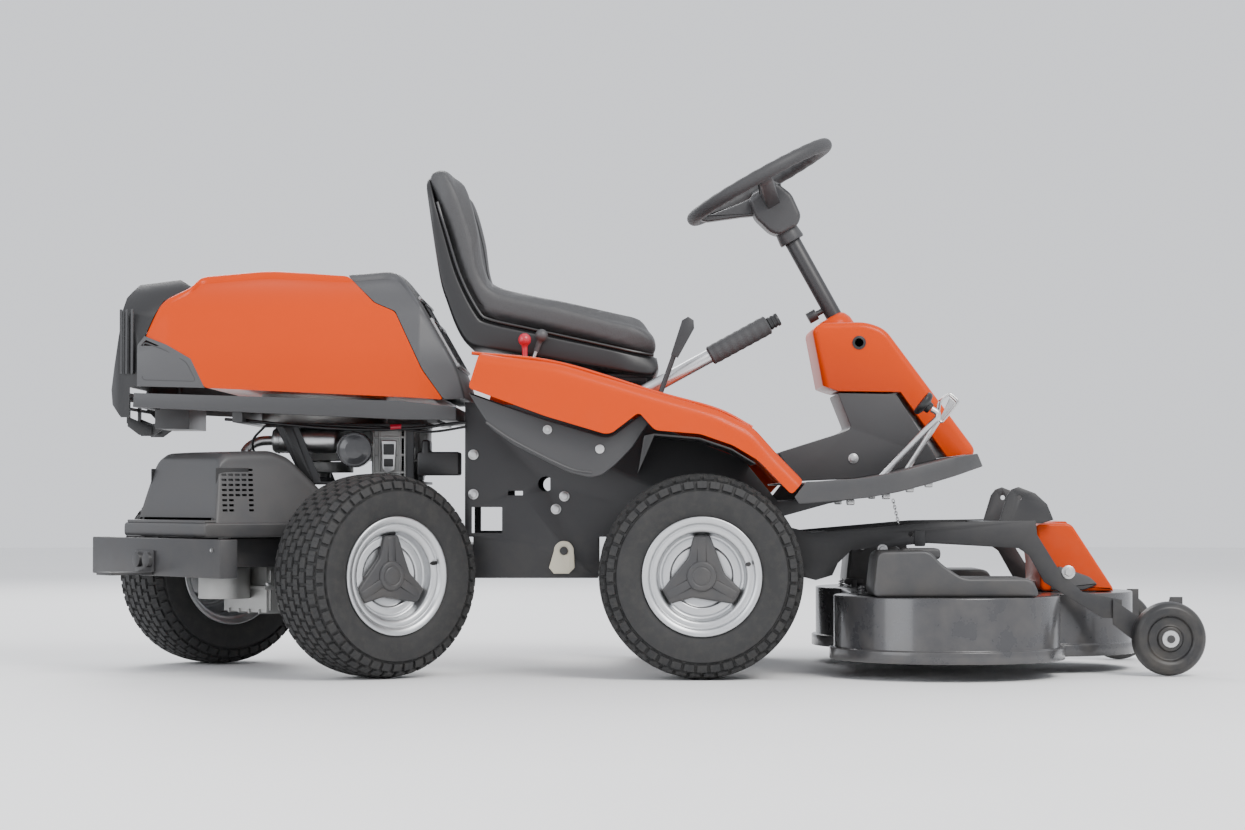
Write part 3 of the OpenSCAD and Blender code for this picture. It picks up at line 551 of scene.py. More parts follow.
def coated_steel(name, colour, rough, coat=0.0):
    """Powder-coated steel: pebbly coat, chips that show bare metal, and dust low down."""
    g = Graph(name, Specular_IOR_Level=0.5, Coat_Weight=coat, Coat_Roughness=0.1)
    tone = g.noise(8, 4)
    chip = g.noise(55, 7, 0.75).clamped(0.735, 0.76)
    dust = (1 - g.height().clamped(0.04, 0.4)) * g.noise(16, 5, 0.65).clamped(0.4, 0.75)
    base = g.mix(tone, shade(colour, 0.85), shade(colour, 1.2))
    base = g.mix(dust * 0.2, base, (0.19, 0.165, 0.13))
    base = g.mix(chip, base, (0.33, 0.32, 0.30))
    pebble = g.bump(g.noise(700, 2), 0.12, 0.0004)
    return g.feed(Base_Color=base, Metallic=chip * 0.8, Roughness=tone * 0.1 + dust * 0.2 + (rough - 0.05),
                  Normal=g.bump(g.noise(20, 3), 0.05, 0.002, pebble))


def bare_metal(name, colour, rough, stretch, grain=260, cast=False):
    """Metal: drawn or brushed lines along one axis, or the sandy skin of a casting."""
    g = Graph(name, Metallic=1.0)
    line = g.noise(grain, 4, 0.6, stretch)
    stain = g.noise(11, 5, 0.6)
    base = g.mix(line * 0.5 + stain * 0.5, shade(colour, 0.78), shade(colour, 1.12))
    base = g.mix(stain.clamped(0.58, 0.8) * 0.35, base, shade(colour, 0.5))
    depth = 0.0009 if cast else 0.0002
    return g.feed(Base_Color=base, Roughness=line * 0.16 + stain * 0.12 + (rough - 0.12),
                  Normal=g.bump(line, 0.35 if cast else 0.12, depth))


def road_rubber(name):
    """Tyre rubber: matt black, greyed by dust, with fine pits and soft mottling."""
    g = Graph(name, Specular_IOR_Level=0.35)
    mottle = g.noise(22, 5, 0.6)
    dust = g.noise(60, 6, 0.7).clamped(0.45, 0.75)
    base = g.mix(mottle, (0.017, 0.017, 0.018), (0.036, 0.036, 0.036))
    base = g.mix(dust * 0.22, base, (0.105, 0.098, 0.085))
    pits = g.bump(g.cells(900), 0.2, 0.0004)
    return g.feed(Base_Color=base, Roughness=mottle * 0.12 + dust * 0.14 + 0.62,
                  Normal=g.bump(g.noise(40, 4), 0.12, 0.001, pits))


def grained_vinyl(name, colour):
    """Seat vinyl: leather-like cells with creases between them, darkened there as painted shade, and a worn
    sheen on high spots.
    """
    g = Graph(name, Specular_IOR_Level=0.42)
    cell = g.cells(330, "DISTANCE_TO_EDGE")
    crease = cell.clamped(0.0, 0.16)
    tone = g.noise(6, 4, 0.55)
    worn = g.noise(13, 4, 0.6).clamped(0.5, 0.8)
    base = g.mix(tone, shade(colour, 0.86), shade(colour, 1.15))
    # The colour darkens towards the cell borders: painted shade in the grain's creases.
    base = g.mix((1 - crease) * 0.45, base, shade(colour, 0.5))
    fold = g.bump(g.noise(17, 3), 0.10, 0.003)
    return g.feed(Base_Color=base, Roughness=tone * 0.08 + 0.44 - worn * 0.08,
                  Normal=g.bump(crease, 0.30, 0.0005, fold))


def grip_rubber(name, colour):
    """Soft grip rubber: velvety, finely stippled, darker where hands have polished it."""
    g = Graph(name, Specular_IOR_Level=0.4)
    tone = g.noise(18, 4)
    base = g.mix(tone, shade(colour, 0.8), shade(colour, 1.2))
    return g.feed(Base_Color=base, Roughness=tone * 0.15 + 0.5,
                  Normal=g.bump(g.cells(1100), 0.2, 0.0004))


def floor_finish(name):
    """Matt pale paint with a barely visible change of tone."""
    g = Graph(name, Specular_IOR_Level=0.3)
    tone = g.noise(1.5, 2)
    return g.feed(Base_Color=g.mix(tone, (0.86, 0.86, 0.86), (0.90, 0.90, 0.90)),
                  Roughness=tone * 0.05 + 0.55)


def make_finishes(look):
    """Every finish of the machine, by name, from the panel's colours."""
    metal = (0.60, 0.60, 0.60)
    return {
        "orange": glossy_orange("orange_plastic", tuple(look.orange)),
        "dark": moulded("dark_plastic", tuple(look.dark_plastic), 0.42, 620),
        "grey": moulded("grey_plastic", shade(tuple(look.dark_plastic), 1.5), 0.46, 560),
        "light": moulded("light_grille_plastic", (0.36, 0.36, 0.37), 0.38, 640),
        "soot": moulded("black_plastic", (0.018, 0.018, 0.019), 0.38, 700),
        "steel": coated_steel("black_steel", (0.026, 0.026, 0.028), 0.42),
        "deck": coated_steel("deck_paint", (0.040, 0.040, 0.043), 0.26, 0.5),
        "bright": bare_metal("zinc_plate", metal, 0.34, (1, 1, 0.08)),
        "rim": bare_metal("silver_rim_paint", (0.64, 0.65, 0.66), 0.36, (1, 1, 1), 420),
        "cast": bare_metal("cast_aluminium", (0.42, 0.42, 0.41), 0.52, (1, 1, 1), 380, True),
        "tube": bare_metal("drawn_aluminium", (0.66, 0.66, 0.67), 0.32, (0.06, 1, 0.06), 300),
        "tyre": road_rubber("tyre_rubber"),
        "grip": grip_rubber("grip_rubber", (0.045, 0.045, 0.047)),
        "vinyl": grained_vinyl("seat_vinyl", tuple(look.vinyl)),
        "red": moulded("red_plastic", (0.50, 0.012, 0.035), 0.30, 700, 0.3),
        "cream": coated_steel("cream_zinc", (0.62, 0.58, 0.46), 0.42),
        "cable": moulded("cable_sheath", (0.012, 0.012, 0.013), 0.35, 800),
    }


FINISH = {}


# ---------------------------------------------------------------- stage

EYE = (-153.8, -5946.1, 359.4)      # the camera's place, in the outlines' millimetres
PITCH = 0.0279                      # how far it looks up, in radians
LENS = 82.41


def build_stage(look):
    """Camera, three soft lights, an even pale sky and a floor that runs out past the view."""
    scene = bpy.context.scene
    eye = bpy.data.objects.new("camera", bpy.data.cameras.new("camera"))
    scene.collection.objects.link(eye)
    scene.camera = eye
    eye.data.lens = LENS
    eye.data.sensor_width = 36.0
    eye.data.clip_end = 100.0
    eye.location = place(EYE)
    eye.rotation_euler = (pi / 2 + PITCH, 0.0, 0.0)

    world = bpy.data.worlds.new("studio")
    world.use_nodes = True
    world.node_tree.nodes["Background"].inputs["Color"].default_value = (0.93, 0.95, 1.0, 1)
    world.node_tree.nodes["Background"].inputs["Strength"].default_value = look.sky
    scene.world = world
    for name, where, size, power, colour in (
            ("key", (2.6, -3.6, 4.4), 2.6, 300, (1.0, 0.985, 0.96)),
            ("fill", (-4.2, -3.4, 2.4), 3.2, 110, (0.95, 0.97, 1.0)),
            ("rim", (-1.5, 4.4, 3.6), 3.0, 170, (1.0, 1.0, 1.0))):
        light = bpy.data.lights.new(name, "AREA")
        light.size = size
        light.energy = power * look.light
        light.color = colour
        lamp = bpy.data.objects.new(name, light)
        scene.collection.objects.link(lamp)
        lamp.location = where
        lamp.rotation_euler = (Vector((0, 0, 0.45)) - Vector(where)).to_track_quat("-Z", "Y").to_euler()

    a = np.linspace(0, 2 * pi, 97)[:-1]
    r = np.linspace(0.0, 1.0, 13)[1:, None] * 14.0
    ring = np.stack([r * np.cos(a), r * np.sin(a), np.zeros((12, 96)) - 0.0005], -1)
    floor = make("floor", grid(ring, True) + Sheet(ring[0], [list(range(96))]), merge=False)
    floor.data.materials.append(floor_finish("floor_paint"))


# ---------------------------------------------------------------- frame parts

# CAD nodes whose own shape is kept, by body: (node, slot, finish, edge in mm)
KEPT = {
    "chassis": [
        ("main_frame", "black_steel", "steel", 1.0), ("front_axle", "black_steel", "steel", 2),
        ("pivot_bracket", "black_steel", "steel", 1.5), ("engine_block", "cast_aluminium", "cast", 4),
        ("battery_box", "dark_plastic", "soot", 4), ("fuel_tank", "dark_plastic", "soot", 4),
        ("arch_liners", "dark_plastic", "soot", 1.5), ("footplate", "dark_plastic", "dark", 2.5),
        ("lever_console", "dark_plastic", "dark", 2), ("hood_rail", "dark_plastic", "dark", 2.5),
        ("steering_column", "black_steel", "steel", 2), ("fasteners", "bright_steel", "bright", 1)],
    "rear_unit": [
        ("rear_frame", "black_steel", "steel", 1.5), ("transaxle", "cast_aluminium", "cast", 4),
        ("counterweight_bar", "black_steel", "steel", 2.5), ("tow_hitch", "black_steel", "steel", 1.2)],
    "lift_lever": [("lift_lever", "bright_steel", "tube", 1)],
    "height_lever": [("height_lever", "black_steel", "steel", 1)],
    "bell_crank": [("bell_crank", "cream_zinc", "cream", 1)],
    "equipment": [
        ("equipment_frame", "black_steel", "steel", 1.2), ("deck_shell", "deck_paint", "deck", 2.5)],
    "blade_right": [("blade_right", "bright_steel", "bright", 0.8)],
    "blade_left": [("blade_left", "bright_steel", "bright", 0.8)],
    "blade_front": [("blade_front", "bright_steel", "bright", 0.8)],
    "support_carrier": [("support_brackets", "black_steel", "steel", 1.5)],
}


def build_castings():
    """Copies of the nodes that keep their designed shape, with eased edges."""
    for body, nodes in KEPT.items():
        for node, slot, finish, edge in nodes:
            finish_piece(copy_of(node, node + "_form", edge), body, finish, [node])


# ---------------------------------------------------------------- road wheels

AXLE_HEIGHT = 200.5
FRONT_HALF_TRACK = 356
REAR_HALF_TRACK = 314
REAR_AXLE_BACK = 130        # behind the kingpin


def at_wheel(side, rear):
    """A map from a wheel's own millimetres (forward, outward, up) to the model's frame."""
    def where(p):
        p = np.asarray(p, float)
        x, y, z = p[..., 0], p[..., 1], p[..., 2] + AXLE_HEIGHT
        if rear:
            return turned(np.stack([x - REAR_AXLE_BACK, side * (REAR_HALF_TRACK + y), z], -1))
        return place(np.stack([x, side * (FRONT_HALF_TRACK + y), z], -1))
    return where


def ring_about(profile, where, segments=96):
    """A closed (radius, outward) profile carried round a wheel's axis."""
    prof = np.array(list(profile) + [profile[0]], float)
    a = np.linspace(0, 2 * pi, segments, endpoint=False)
    pts = np.stack([prof[:, :1] * np.cos(a), np.broadcast_to(prof[:, 1:], (len(prof), segments)),
                    prof[:, :1] * np.sin(a)], -1)
    return grid(where(pts), True)


PITCHES = 44                # tread blocks round a tyre
ROW = 21.5                  # from one row of blocks to the next


def tyre_sheet(where, depth):
    """A tyre skin over (distance s round its section, angle a). The section is a softened outline;
    blocks stand where |s - row| < 8 and |a - pitch| < 0.36 of a pitch, every second row being
    shifted by half a pitch, and the skin sinks by the tread depth between them."""
    half = soften([(200.5, 0), (199.5, 34), (196.5, 60), (186, 76), (170, 81.5), (150, 82.2), (128, 79),
                   (117, 73), (106, 70)], 9, 6)
    line = np.concatenate([half[::-1] * [1, -1], half[1:]])
    s = np.concatenate([[0], np.cumsum(np.linalg.norm(np.diff(line, axis=0), axis=1))])
    s -= s[-1] / 2
    rows = np.arange(-4, 5) * ROW
    at = np.concatenate([(rows[:, None] + [-10.7, -8.4, -7.2, 0, 7.2, 8.4, 10.7]).ravel(),
                         np.linspace(100, s[-1], 15), -np.linspace(100, s[-1], 15)])
    at = np.unique(np.round(at, 3))
    r, y = np.interp(at, s, line[:, 0]), np.interp(at, s, line[:, 1])
    slope = np.gradient(np.stack([r, y], 1), at, axis=0)
    slope /= np.linalg.norm(slope, axis=1, keepdims=True)
    out = np.stack([slope[:, 1], -slope[:, 0]], 1)
    step = np.array([-.5, -.46, -.40, -.36, -.14, -.10, 0, .10, .14, .36, .40, .46])
    a = (np.arange(PITCHES)[:, None] + step).ravel()
    row = np.rint(at / ROW)
    shift = np.where(row % 2 == 0, 0.0, 0.5)[:, None]
    across = np.clip((8.4 - np.abs(at - row * ROW)) / 1.2, 0, 1)[:, None]
    across = np.where(np.abs(row)[:, None] > 4, 0, across)
    phase = np.abs((a[None] + shift + 0.5) % 1 - 0.5)
    block = across * np.clip((0.40 - phase) / 0.04, 0, 1)
    dimple = 0.25 * across * (phase < 0.05) * (np.abs(at - row * ROW) < 1)[:, None]
    tread = (np.abs(at) < 97)[:, None]
    sink = np.where(tread, 1 - block + dimple, 0.0) * depth / MM
    ribs = 0.9 * np.exp(-((r - 172) / 1.4) ** 2) + 1.1 * np.exp(-((r - 124) / 1.8) ** 2)
    rise = np.where(tread[:, 0], 0, ribs)[:, None] - sink
    rr, yy = r[:, None] + out[:, :1] * rise, y[:, None] + out[:, 1:] * rise
    angle = a[None] * 2 * pi / PITCHES
    skin = np.stack([rr * np.cos(angle), yy * np.ones_like(angle), rr * np.sin(angle)], -1)
    return grid(where(skin), True)


RIM = [(116, 73), (117, 76), (115, 78.5), (110, 78), (104, 75.5), (101.5, 71), (100, 69), (97, 70),
       (90, 68.5), (86, 64), (84.5, 52), (82, 46), (78, 45), (76, 48), (62, 48.5), (59.5, 43.5), (40, 42),
       (20, 42), (13, 42), (13, 36), (40, 36.5), (58, 38), (62, 43), (74, 42.5), (77, 39), (82, 38),
       (88, 20), (94, 6), (96, -30), (99, -66), (104, -71), (111, -73), (115, -76), (117, -73.5),
       (113, -69), (105, -66), (103.5, -40), (103, 40), (105, 66), (111, 68)]
STAR = [(82, -11), (82, 11), (45, 36)]


def build_wheels(look):
    """Four tyres with their linings, stepped rims, three-armed caps and valves."""
    for end, rear in (("front", False), ("rear", True)):
        for hand, side in (("right", -1), ("left", 1)):
            where, body = at_wheel(side, rear), f"{end}_wheel_{hand}"
            skin = tyre_sheet(where, look.tread_depth)
            inner = ring_about([(108, 69), (103.6, 66), (104, 0), (103.6, -66), (108, -69)], where)
            tyre = make(f"tyre_{end}_{hand}", skin, 34)
            lining = make(f"bead_{end}_{hand}", inner, 34)
            finish_piece(tyre, body, "tyre", [f"{end}_tyre_{hand}"])
            finish_piece(lining, body, "tyre")

            rim = make(f"rim_{end}_{hand}", ring_about(soften(RIM, 2.2, 4, True), where), 60)
            finish_piece(rim, body, "rim", [f"{end}_rim_{hand}"])

            star = [(r * cos(radians(arm + a)), r * sin(radians(arm + a)))
                    for arm in (90, 210, 330) for r, a in STAR]
            cap = rounded_slab(star, 42, 56, 6, 5, 5, where)
            disc = [(0, 60.5), (16, 60.5), (17, 59.6), (19, 59.6), (20, 60.6), (27, 60.2), (29.5, 57.5),
                    (30, 50), (0, 50)]
            a = np.linspace(0, 2 * pi, 48, endpoint=False)
            prof = soften([(max(r, 0.01), y) for r, y in disc], 1, 3)
            pts = np.stack([prof[:, :1] * np.cos(a), prof[:, 1:] * np.ones(48), prof[:, :1] * np.sin(a)], -1)
            cap = cap + grid(where(pts), True, True)
            for arm in (90, 210, 330):
                rib = [(15, 55), (15, 58), (74, 57), (80, 54), (80, 52)]
                c, s = cos(radians(arm)), sin(radians(arm))

                def along(p, c=c, s=s):
                    """(along the rib, across it, outward) to the wheel's millimetres."""
                    r, w, y = p[..., 0], p[..., 1], p[..., 2]
                    return where(np.stack([r * c - w * s, y, r * s + w * c], -1))
                cap = cap + rounded_slab(rib, -9, 9, 2, 3, 3, along)
            trim = make(f"wheel_cap_{end}_{hand}", cap, 34)
            finish_piece(trim, body, "dark")

            stem = where(np.array([(88, 54, 24), (88, 62, 24), (90, 72, 24), (91, 76, 24.5)]))
            valve = make(f"valve_{end}_{hand}", tube(stem, np.array([5.5, 5.2, 4.2, 4.0]) * MM), 50)
            finish_piece(valve, body, "cable")


# ---------------------------------------------------------------- seat

SEAT_HALF = 223
PAD_OUTER = [(-543, 1001), (-536, 1020), (-519, 1027), (-500, 1020), (-473, 975), (-452, 900),
             (-440, 820), (-412, 780), (-330, 758), (-277, 748), (-170, 724), (-117, 711), (-84, 686),
             (-79, 656), (-90, 642)]
PAD_INNER = [(-543, 1001), (-538, 985), (-528, 950), (-510, 892), (-481, 801), (-445, 731),
             (-422, 713), (-340, 694), (-277, 680), (-190, 661), (-140, 650), (-112, 645), (-101, 643),
             (-94, 642), (-90, 642)]
PAN_OUTER = [(-546, 1003), (-551, 985), (-545, 940), (-524, 800), (-508, 745), (-489, 695),
             (-468, 663), (-440, 652), (-320, 632), (-200, 612), (-130, 600), (-100, 597), (-88, 600),
             (-80, 612), (-84, 636)]
PAN_INNER = [(-546, 1003), (-540, 985), (-531, 950), (-513, 892), (-484, 800), (-447, 728),
             (-424, 710), (-342, 691), (-279, 677), (-192, 658), (-142, 647), (-114, 642), (-103, 640),
             (-94, 639), (-84, 636)]


def upholstery(outer, inner, boxy, dip=0.0, rows=110, shrink=0.0):
    """A closed pad between an outer and an inner line: across it runs a superellipse, y = width
    cos^boxy, height = sin^boxy, dipped between the two bolsters on its outer side."""
    o, i = curve_through(outer, rows), curve_through(inner, rows)
    f = np.linspace(0, 2 * pi, 72, endpoint=False)[None]
    c, s = np.cos(f), np.sin(f)
    across, rise = np.sign(c) * np.abs(c) ** boxy, np.sign(s) * np.abs(s) ** boxy
    t = np.linspace(0, 1, rows)[:, None]
    end = np.clip(np.minimum(t, 1 - t) / 0.14, 0, 1)
    width = SEAT_HALF * (0.74 + 0.26 * np.sqrt(1 - (1 - end) ** 2)) - shrink
    soft = np.clip((0.74 - np.abs(across)) / 0.20, 0, 1)
    soft = soft * soft * (3 - 2 * soft) * np.clip(np.minimum(t, 1 - t) / 0.10, 0, 1)
    h = 0.5 + 0.5 * rise * (1 - 2 * shrink / 60) - dip * soft * (rise > 0)
    xz = i[:, None] + (o - i)[:, None] * h[..., None]
    y = width * across
    return grid(place(np.stack([xz[..., 0], y, xz[..., 1]], -1)), True, True)


SWELL_LIMIT = 0.007


def swell(pad, frames):
    """Lets the pad swell as cloth under an even pressure and keeps each move below a limit."""
    mod = pad.modifiers.new("even", "REMESH")
    mod.mode, mod.voxel_size = "VOXEL", 0.006
    bake_modifiers(pad)
    rest = np.array([v.co for v in pad.data.vertices])
    cloth = pad.modifiers.new("air", "CLOTH").settings
    cloth.quality, cloth.mass = 5, 0.3
    cloth.tension_stiffness = cloth.compression_stiffness = 18
    cloth.bending_stiffness = 0.4
    cloth.use_pressure, cloth.uniform_pressure_force = True, 4.0
    cloth.effector_weights.gravity = 0.0
    pad.modifiers["air"].point_cache.frame_start = 1
    pad.modifiers["air"].point_cache.frame_end = frames
    for number in range(1, frames + 1):
        bpy.context.scene.frame_set(number)
    bake_modifiers(pad)
    now = np.array([v.co for v in pad.data.vertices])
    move = now - rest
    far = np.linalg.norm(move, axis=1, keepdims=True)
    now = rest + move * np.minimum(1, SWELL_LIMIT / np.maximum(far, 1e-9))
    pad.data.vertices.foreach_set("co", now.ravel())
    bpy.context.scene.frame_set(1)


def seam(pad, share):
    """A sewn groove: a thin cord laid on the pad where its bolster starts, pressed into it."""
    line = curve_through(PAD_OUTER, 106)[8:-8]
    path = at_side(line, SEAT_HALF * share)
    found = [pad.closest_point_on_mesh(Vector(p)) for p in path]
    on = np.array([hit[1] - hit[2] * 0.0008 for hit in found])
    on[1:-1] = (on[:-2] + on[1:-1] * 2 + on[2:]) / 4
    return tube(on, 0.0022, 6)


def build_seat(look):
    """Cushion, its seams and welt, the shell behind it and the slides below."""
    sheet = upholstery(PAD_OUTER, PAD_INNER, 0.36, 0.30, shrink=2.0)
    pad = make("seat_cushion", sheet, 60)
    swell(pad, look.cloth_frames)
    smooth = pad.modifiers.new("smooth", "SUBSURF")
    smooth.levels = smooth.render_levels = 1
    bake_modifiers(pad)
    pad.data.shade_smooth()
    finish_piece(pad, "seat", "vinyl", ["seat_pad"])
    bpy.context.view_layer.update()
    lines = seam(pad, 0.64) + seam(pad, -0.64)
    finish_piece(make("seat_seams", lines), "seat", "cable")

    pan = make("seat_shell", upholstery(PAN_OUTER, PAN_INNER, 0.20, rows=90), 50)
    finish_piece(pan, "seat", "soot", ["seat_pan"])
    slide = joined([block(-300, -104, y - 12, y + 12, 588, 606, 3) for y in (-150, 150)])
    slide = slide + block(-330, -90, -170, 170, 596, 606, 3)
    ears = block(-132, -92, -52, -47.5, 572, 606, 2) + block(-132, -92, 47.5, 52, 572, 606, 2)
    pin = tube(place([(-112, y, 578) for y in np.linspace(-54, 54, 5)]), 0.006, 16)
    finish_piece(make("seat_slides", slide + ears + pin, 40), "seat", "steel")

    edge = curve_through(np.array(PAD_INNER[2:-1]) + [1, -1.5], 70)
    t = np.linspace(0, 1, 70)
    end = np.clip(np.minimum(t + 0.07, 1 - t + 0.03) / 0.14, 0, 1)
    wide = 221.5 * (0.76 + 0.24 * np.sqrt(1 - (1 - end) ** 2))
    welts = [tube(at_side(edge, side * wide), 0.0030, 8) for side in (-1, 1)]
    finish_piece(make("seat_welt", welts[0] + welts[1]), "seat", "cable")


# ---------------------------------------------------------------- covers

SIDE_COVER = [(-453, 566), (-432, 635), (-281, 616), (-87, 558), (31, 525), (101, 490), (147, 438),
              (198, 386), (174, 359), (110, 425), (60, 455), (-4, 477), (-91, 484), (-122, 519),
              (-174, 479), (-188, 477), (-302, 511)]
SHIELD = [(-456, 560), (-432, 521), (-410, 487), (-363, 454), (-258, 402), (-219, 392), (-195, 396),
          (-169, 416), (-135, 450), (-97, 507), (-116, 517), (-174, 474), (-190, 472), (-304, 506)]
COWL = [(200, 600), (200, 740), (420, 740), (600, 470), (576, 440), (545, 441), (510, 436), (415, 569),
        (288, 571)]
TOWER = [(164, 445), (204, 387), (321, 392), (380, 403), (435, 418), (490, 431), (406, 565), (286, 567),
         (314, 496), (302, 488)]


def cover_skin():
    """The fender over a front wheel: a wall that leans in, a wide round shoulder and a top."""
    pairs = [[(-470, 500), (-462, 645)], [(-420, 500), (-425, 634)], [(-302, 480), (-281, 616)],
             [(-188, 460), (-180, 586)], [(-100, 455), (-87, 558)], [(0, 450), (31, 525)],
             [(70, 425), (101, 490)], [(112, 400), (147, 438)], [(170, 340), (200, 384)]]
    return draped(pairs, 429, 70, 3, 26, 0.05, inner=232)


def build_covers():
    """Fenders with their lips, shields, the cowl and the tower under it."""
    skin = make("cover_master", cover_skin(), 50)
    thicken(skin, 0.004)
    edge = soften(SIDE_COVER, 9, 5, True)
    carve(skin, make("cutter", prism(edge, -445, -200)), "INTERSECT")
    bevel(skin, 0.0012, 40)
    bake_modifiers(skin)
    tidy(skin, 35)
    right = Sheet([v.co for v in skin.data.vertices], [p.vertices for p in skin.data.polygons])
    bpy.data.objects.remove(skin)
    for hand, sheet in (("right", right), ("left", right.mirrored())):
        piece = make(f"fender_{hand}", sheet, 35)
        finish_piece(piece, "chassis", "orange", [f"side_cover_{hand}"])

    lip = [(-448, 632), (-281, 613), (-87, 555), (31, 522), (99, 487)]
    line = curve_through(lip, 60)
    ridge = tube(at_side(line + [0, 3.2], -398.0), 0.0032, 8)
    # A black cord along the groove inside the lip: painted shade in the groove.
    inner = tube(at_side(line + [0, 2.4], -384.0), 0.0022, 8)
    finish_piece(make("fender_lips", ridge.paired()), "chassis", "orange")
    finish_piece(make("fender_grooves", inner.paired()), "chassis", "soot")

    plate = rounded_slab(SHIELD, -394, -386, 8, 3)
    rib = tube(at_side(curve_through([(-420, 500), (-363, 462), (-262, 412), (-214, 402)], 30), -393.4),
               0.0026, 8)
    shields = (plate + rib).paired()
    finish_piece(make("shields", shields, 40), "chassis", "dark", ["lower_shields"])

    whole = [(234, 697), (250, 711), (345, 713), (384, 699), (572, 446), (540, 420), (330, 470), (272, 500)]
    cowl = make("cowl_shell", rounded_slab(whole, -124.5, 124.5, 30, 14, 7), 30)
    carve(cowl, make("cutter", prism(COWL, -140, 140)), "INTERSECT")
    bevel(cowl, 0.001, 50)
    bake_modifiers(cowl)
    tidy(cowl, 30)
    finish_piece(cowl, "chassis", "orange", ["cowl"])
    collar = turned_solid([(0.001, -0.02), (0.042, -0.02), (0.040, 0.0), (0.034, 0.012), (0.028, 0.017),
                           (0.023, 0.018), (0.001, 0.018)], place((286, 0, 712)), COLUMN, 48)
    tower = rounded_slab(TOWER, -121, 121, 6, 1.5, 4)
    finish_piece(make("tower_shell", tower, 30), "chassis", "dark", ["floor_tower"])
    finish_piece(make("column_collar", collar), "chassis", "orange")
    pocket = turned_solid([(0.0005, 0), (0.013, 0), (0.014, 0.0025), (0.009, 0.0035), (0.008, 0.001),
                           (0.0005, 0.001)], place((330, -123.5, 670)), (0, -1, 0), 32)
    bolts = hex_bolt(place((-300, -394.5, 486)), (0, -1, 0), 0.006)
    finish_piece(make("cowl_plug", pocket), "chassis", "soot")
    finish_piece(make("cover_bolts", bolts.paired(), 30), "chassis", "bright")


# ---------------------------------------------------------------- hood

HOOD_TOP = [(-1128, 600), (-1109, 676), (-1094, 713), (-1077, 748), (-1023, 778), (-1008, 801), (-874, 815),
            (-712, 805), (-612, 815), (-570, 762), (-484, 611), (-468, 552), (-462, 520)]
HOOD = [(-987, 572), (-1015, 630), (-1063, 658), (-1109, 676), (-1094, 713), (-1077, 748),
        (-1023, 778), (-1010, 801), (-874, 817), (-710, 802), (-652, 744), (-610, 726), (-554, 608),
        (-512, 549), (-578, 553)]
GRILLE = [(-709, 801), (-708, 820), (-612, 822), (-560, 770), (-478, 620), (-460, 552), (-511, 549.5),
          (-553, 609), (-609, 727), (-651, 745)]
SECTION = [(268, 480), (268, 640), (247, 730), (207, 774), (128, 822), (60, 860)]


def hood_skin():
    """The hood's outer skin: at each point of the top line a wall follows the section y(z), less
    the plan's inset, then rounds a quarter circle and crosses to the other side."""
    line = evenly(soften(HOOD_TOP, 26, 6), 170)
    section = soften(SECTION, 26, 6)
    x, t = line[:, :1], line[:, 1:]
    plan = np.interp(x, [-1190, -1165, -1120, -1060, -560, -440], [62, 30, 6, 0, 0, 34])
    r = 15.0
    a = np.linspace(0, 1, 22)[None]
    z = 495 + (t - r - 495) * a

    def wall(z):
        """The section's half width at a height."""
        return np.interp(z, section[:, 1], section[:, 0])
    y = wall(z) - plan
    f = np.linspace(0, pi / 2, 6)[None, 1:]
    zb, yb = t - r * (1 - np.sin(f)), wall(t - r) - plan - r * (1 - np.cos(f))
    s = np.linspace(1, 0, 14)[None, 1:]
    zt, yt = t + 4 * (1 - s ** 2), yb[:, -1:] * s
    z, y = np.concatenate([z, zb, zt], 1), np.concatenate([y, yb, yt], 1)
    z, y = np.concatenate([z, z[:, -2::-1]], 1), np.concatenate([y, -y[:, -2::-1]], 1)
    return grid(place(np.stack([np.broadcast_to(x, y.shape), -y, z], -1)))


def skin_part(name, outline, corner, wall=0.004):
    """The part of the hood's skin that an outline keeps, seen from the side."""
    piece = make(name, hood_skin(), 60)
    thicken(piece, wall)
    carve(piece, make("cutter", prism(soften(outline, corner, 4, True), -300, 300)), "INTERSECT")
    bevel(piece, 0.0011, 50)
    bake_modifiers(piece)
    tidy(piece, 28)
    return piece


def on_face(p):
    """(down the hood's front face, y, out of the face) in millimetres to the model's frame."""
    p = np.asarray(p, float)
    s, y, h = p[..., 0], p[..., 1], p[..., 2]
    return place(np.stack([-570 + 0.495 * s + 0.869 * h, y, 762 - 0.869 * s + 0.495 * h], -1))


def face_box(s0, s1, y0, y1, h0, h1, edge):
    """A rounded box set square to the hood's front face."""
    return rounded_slab([(s0, h0), (s1, h0), (s1, h1), (s0, h1)], y0, y1, 1.8 * edge, edge,
                        where=on_face)


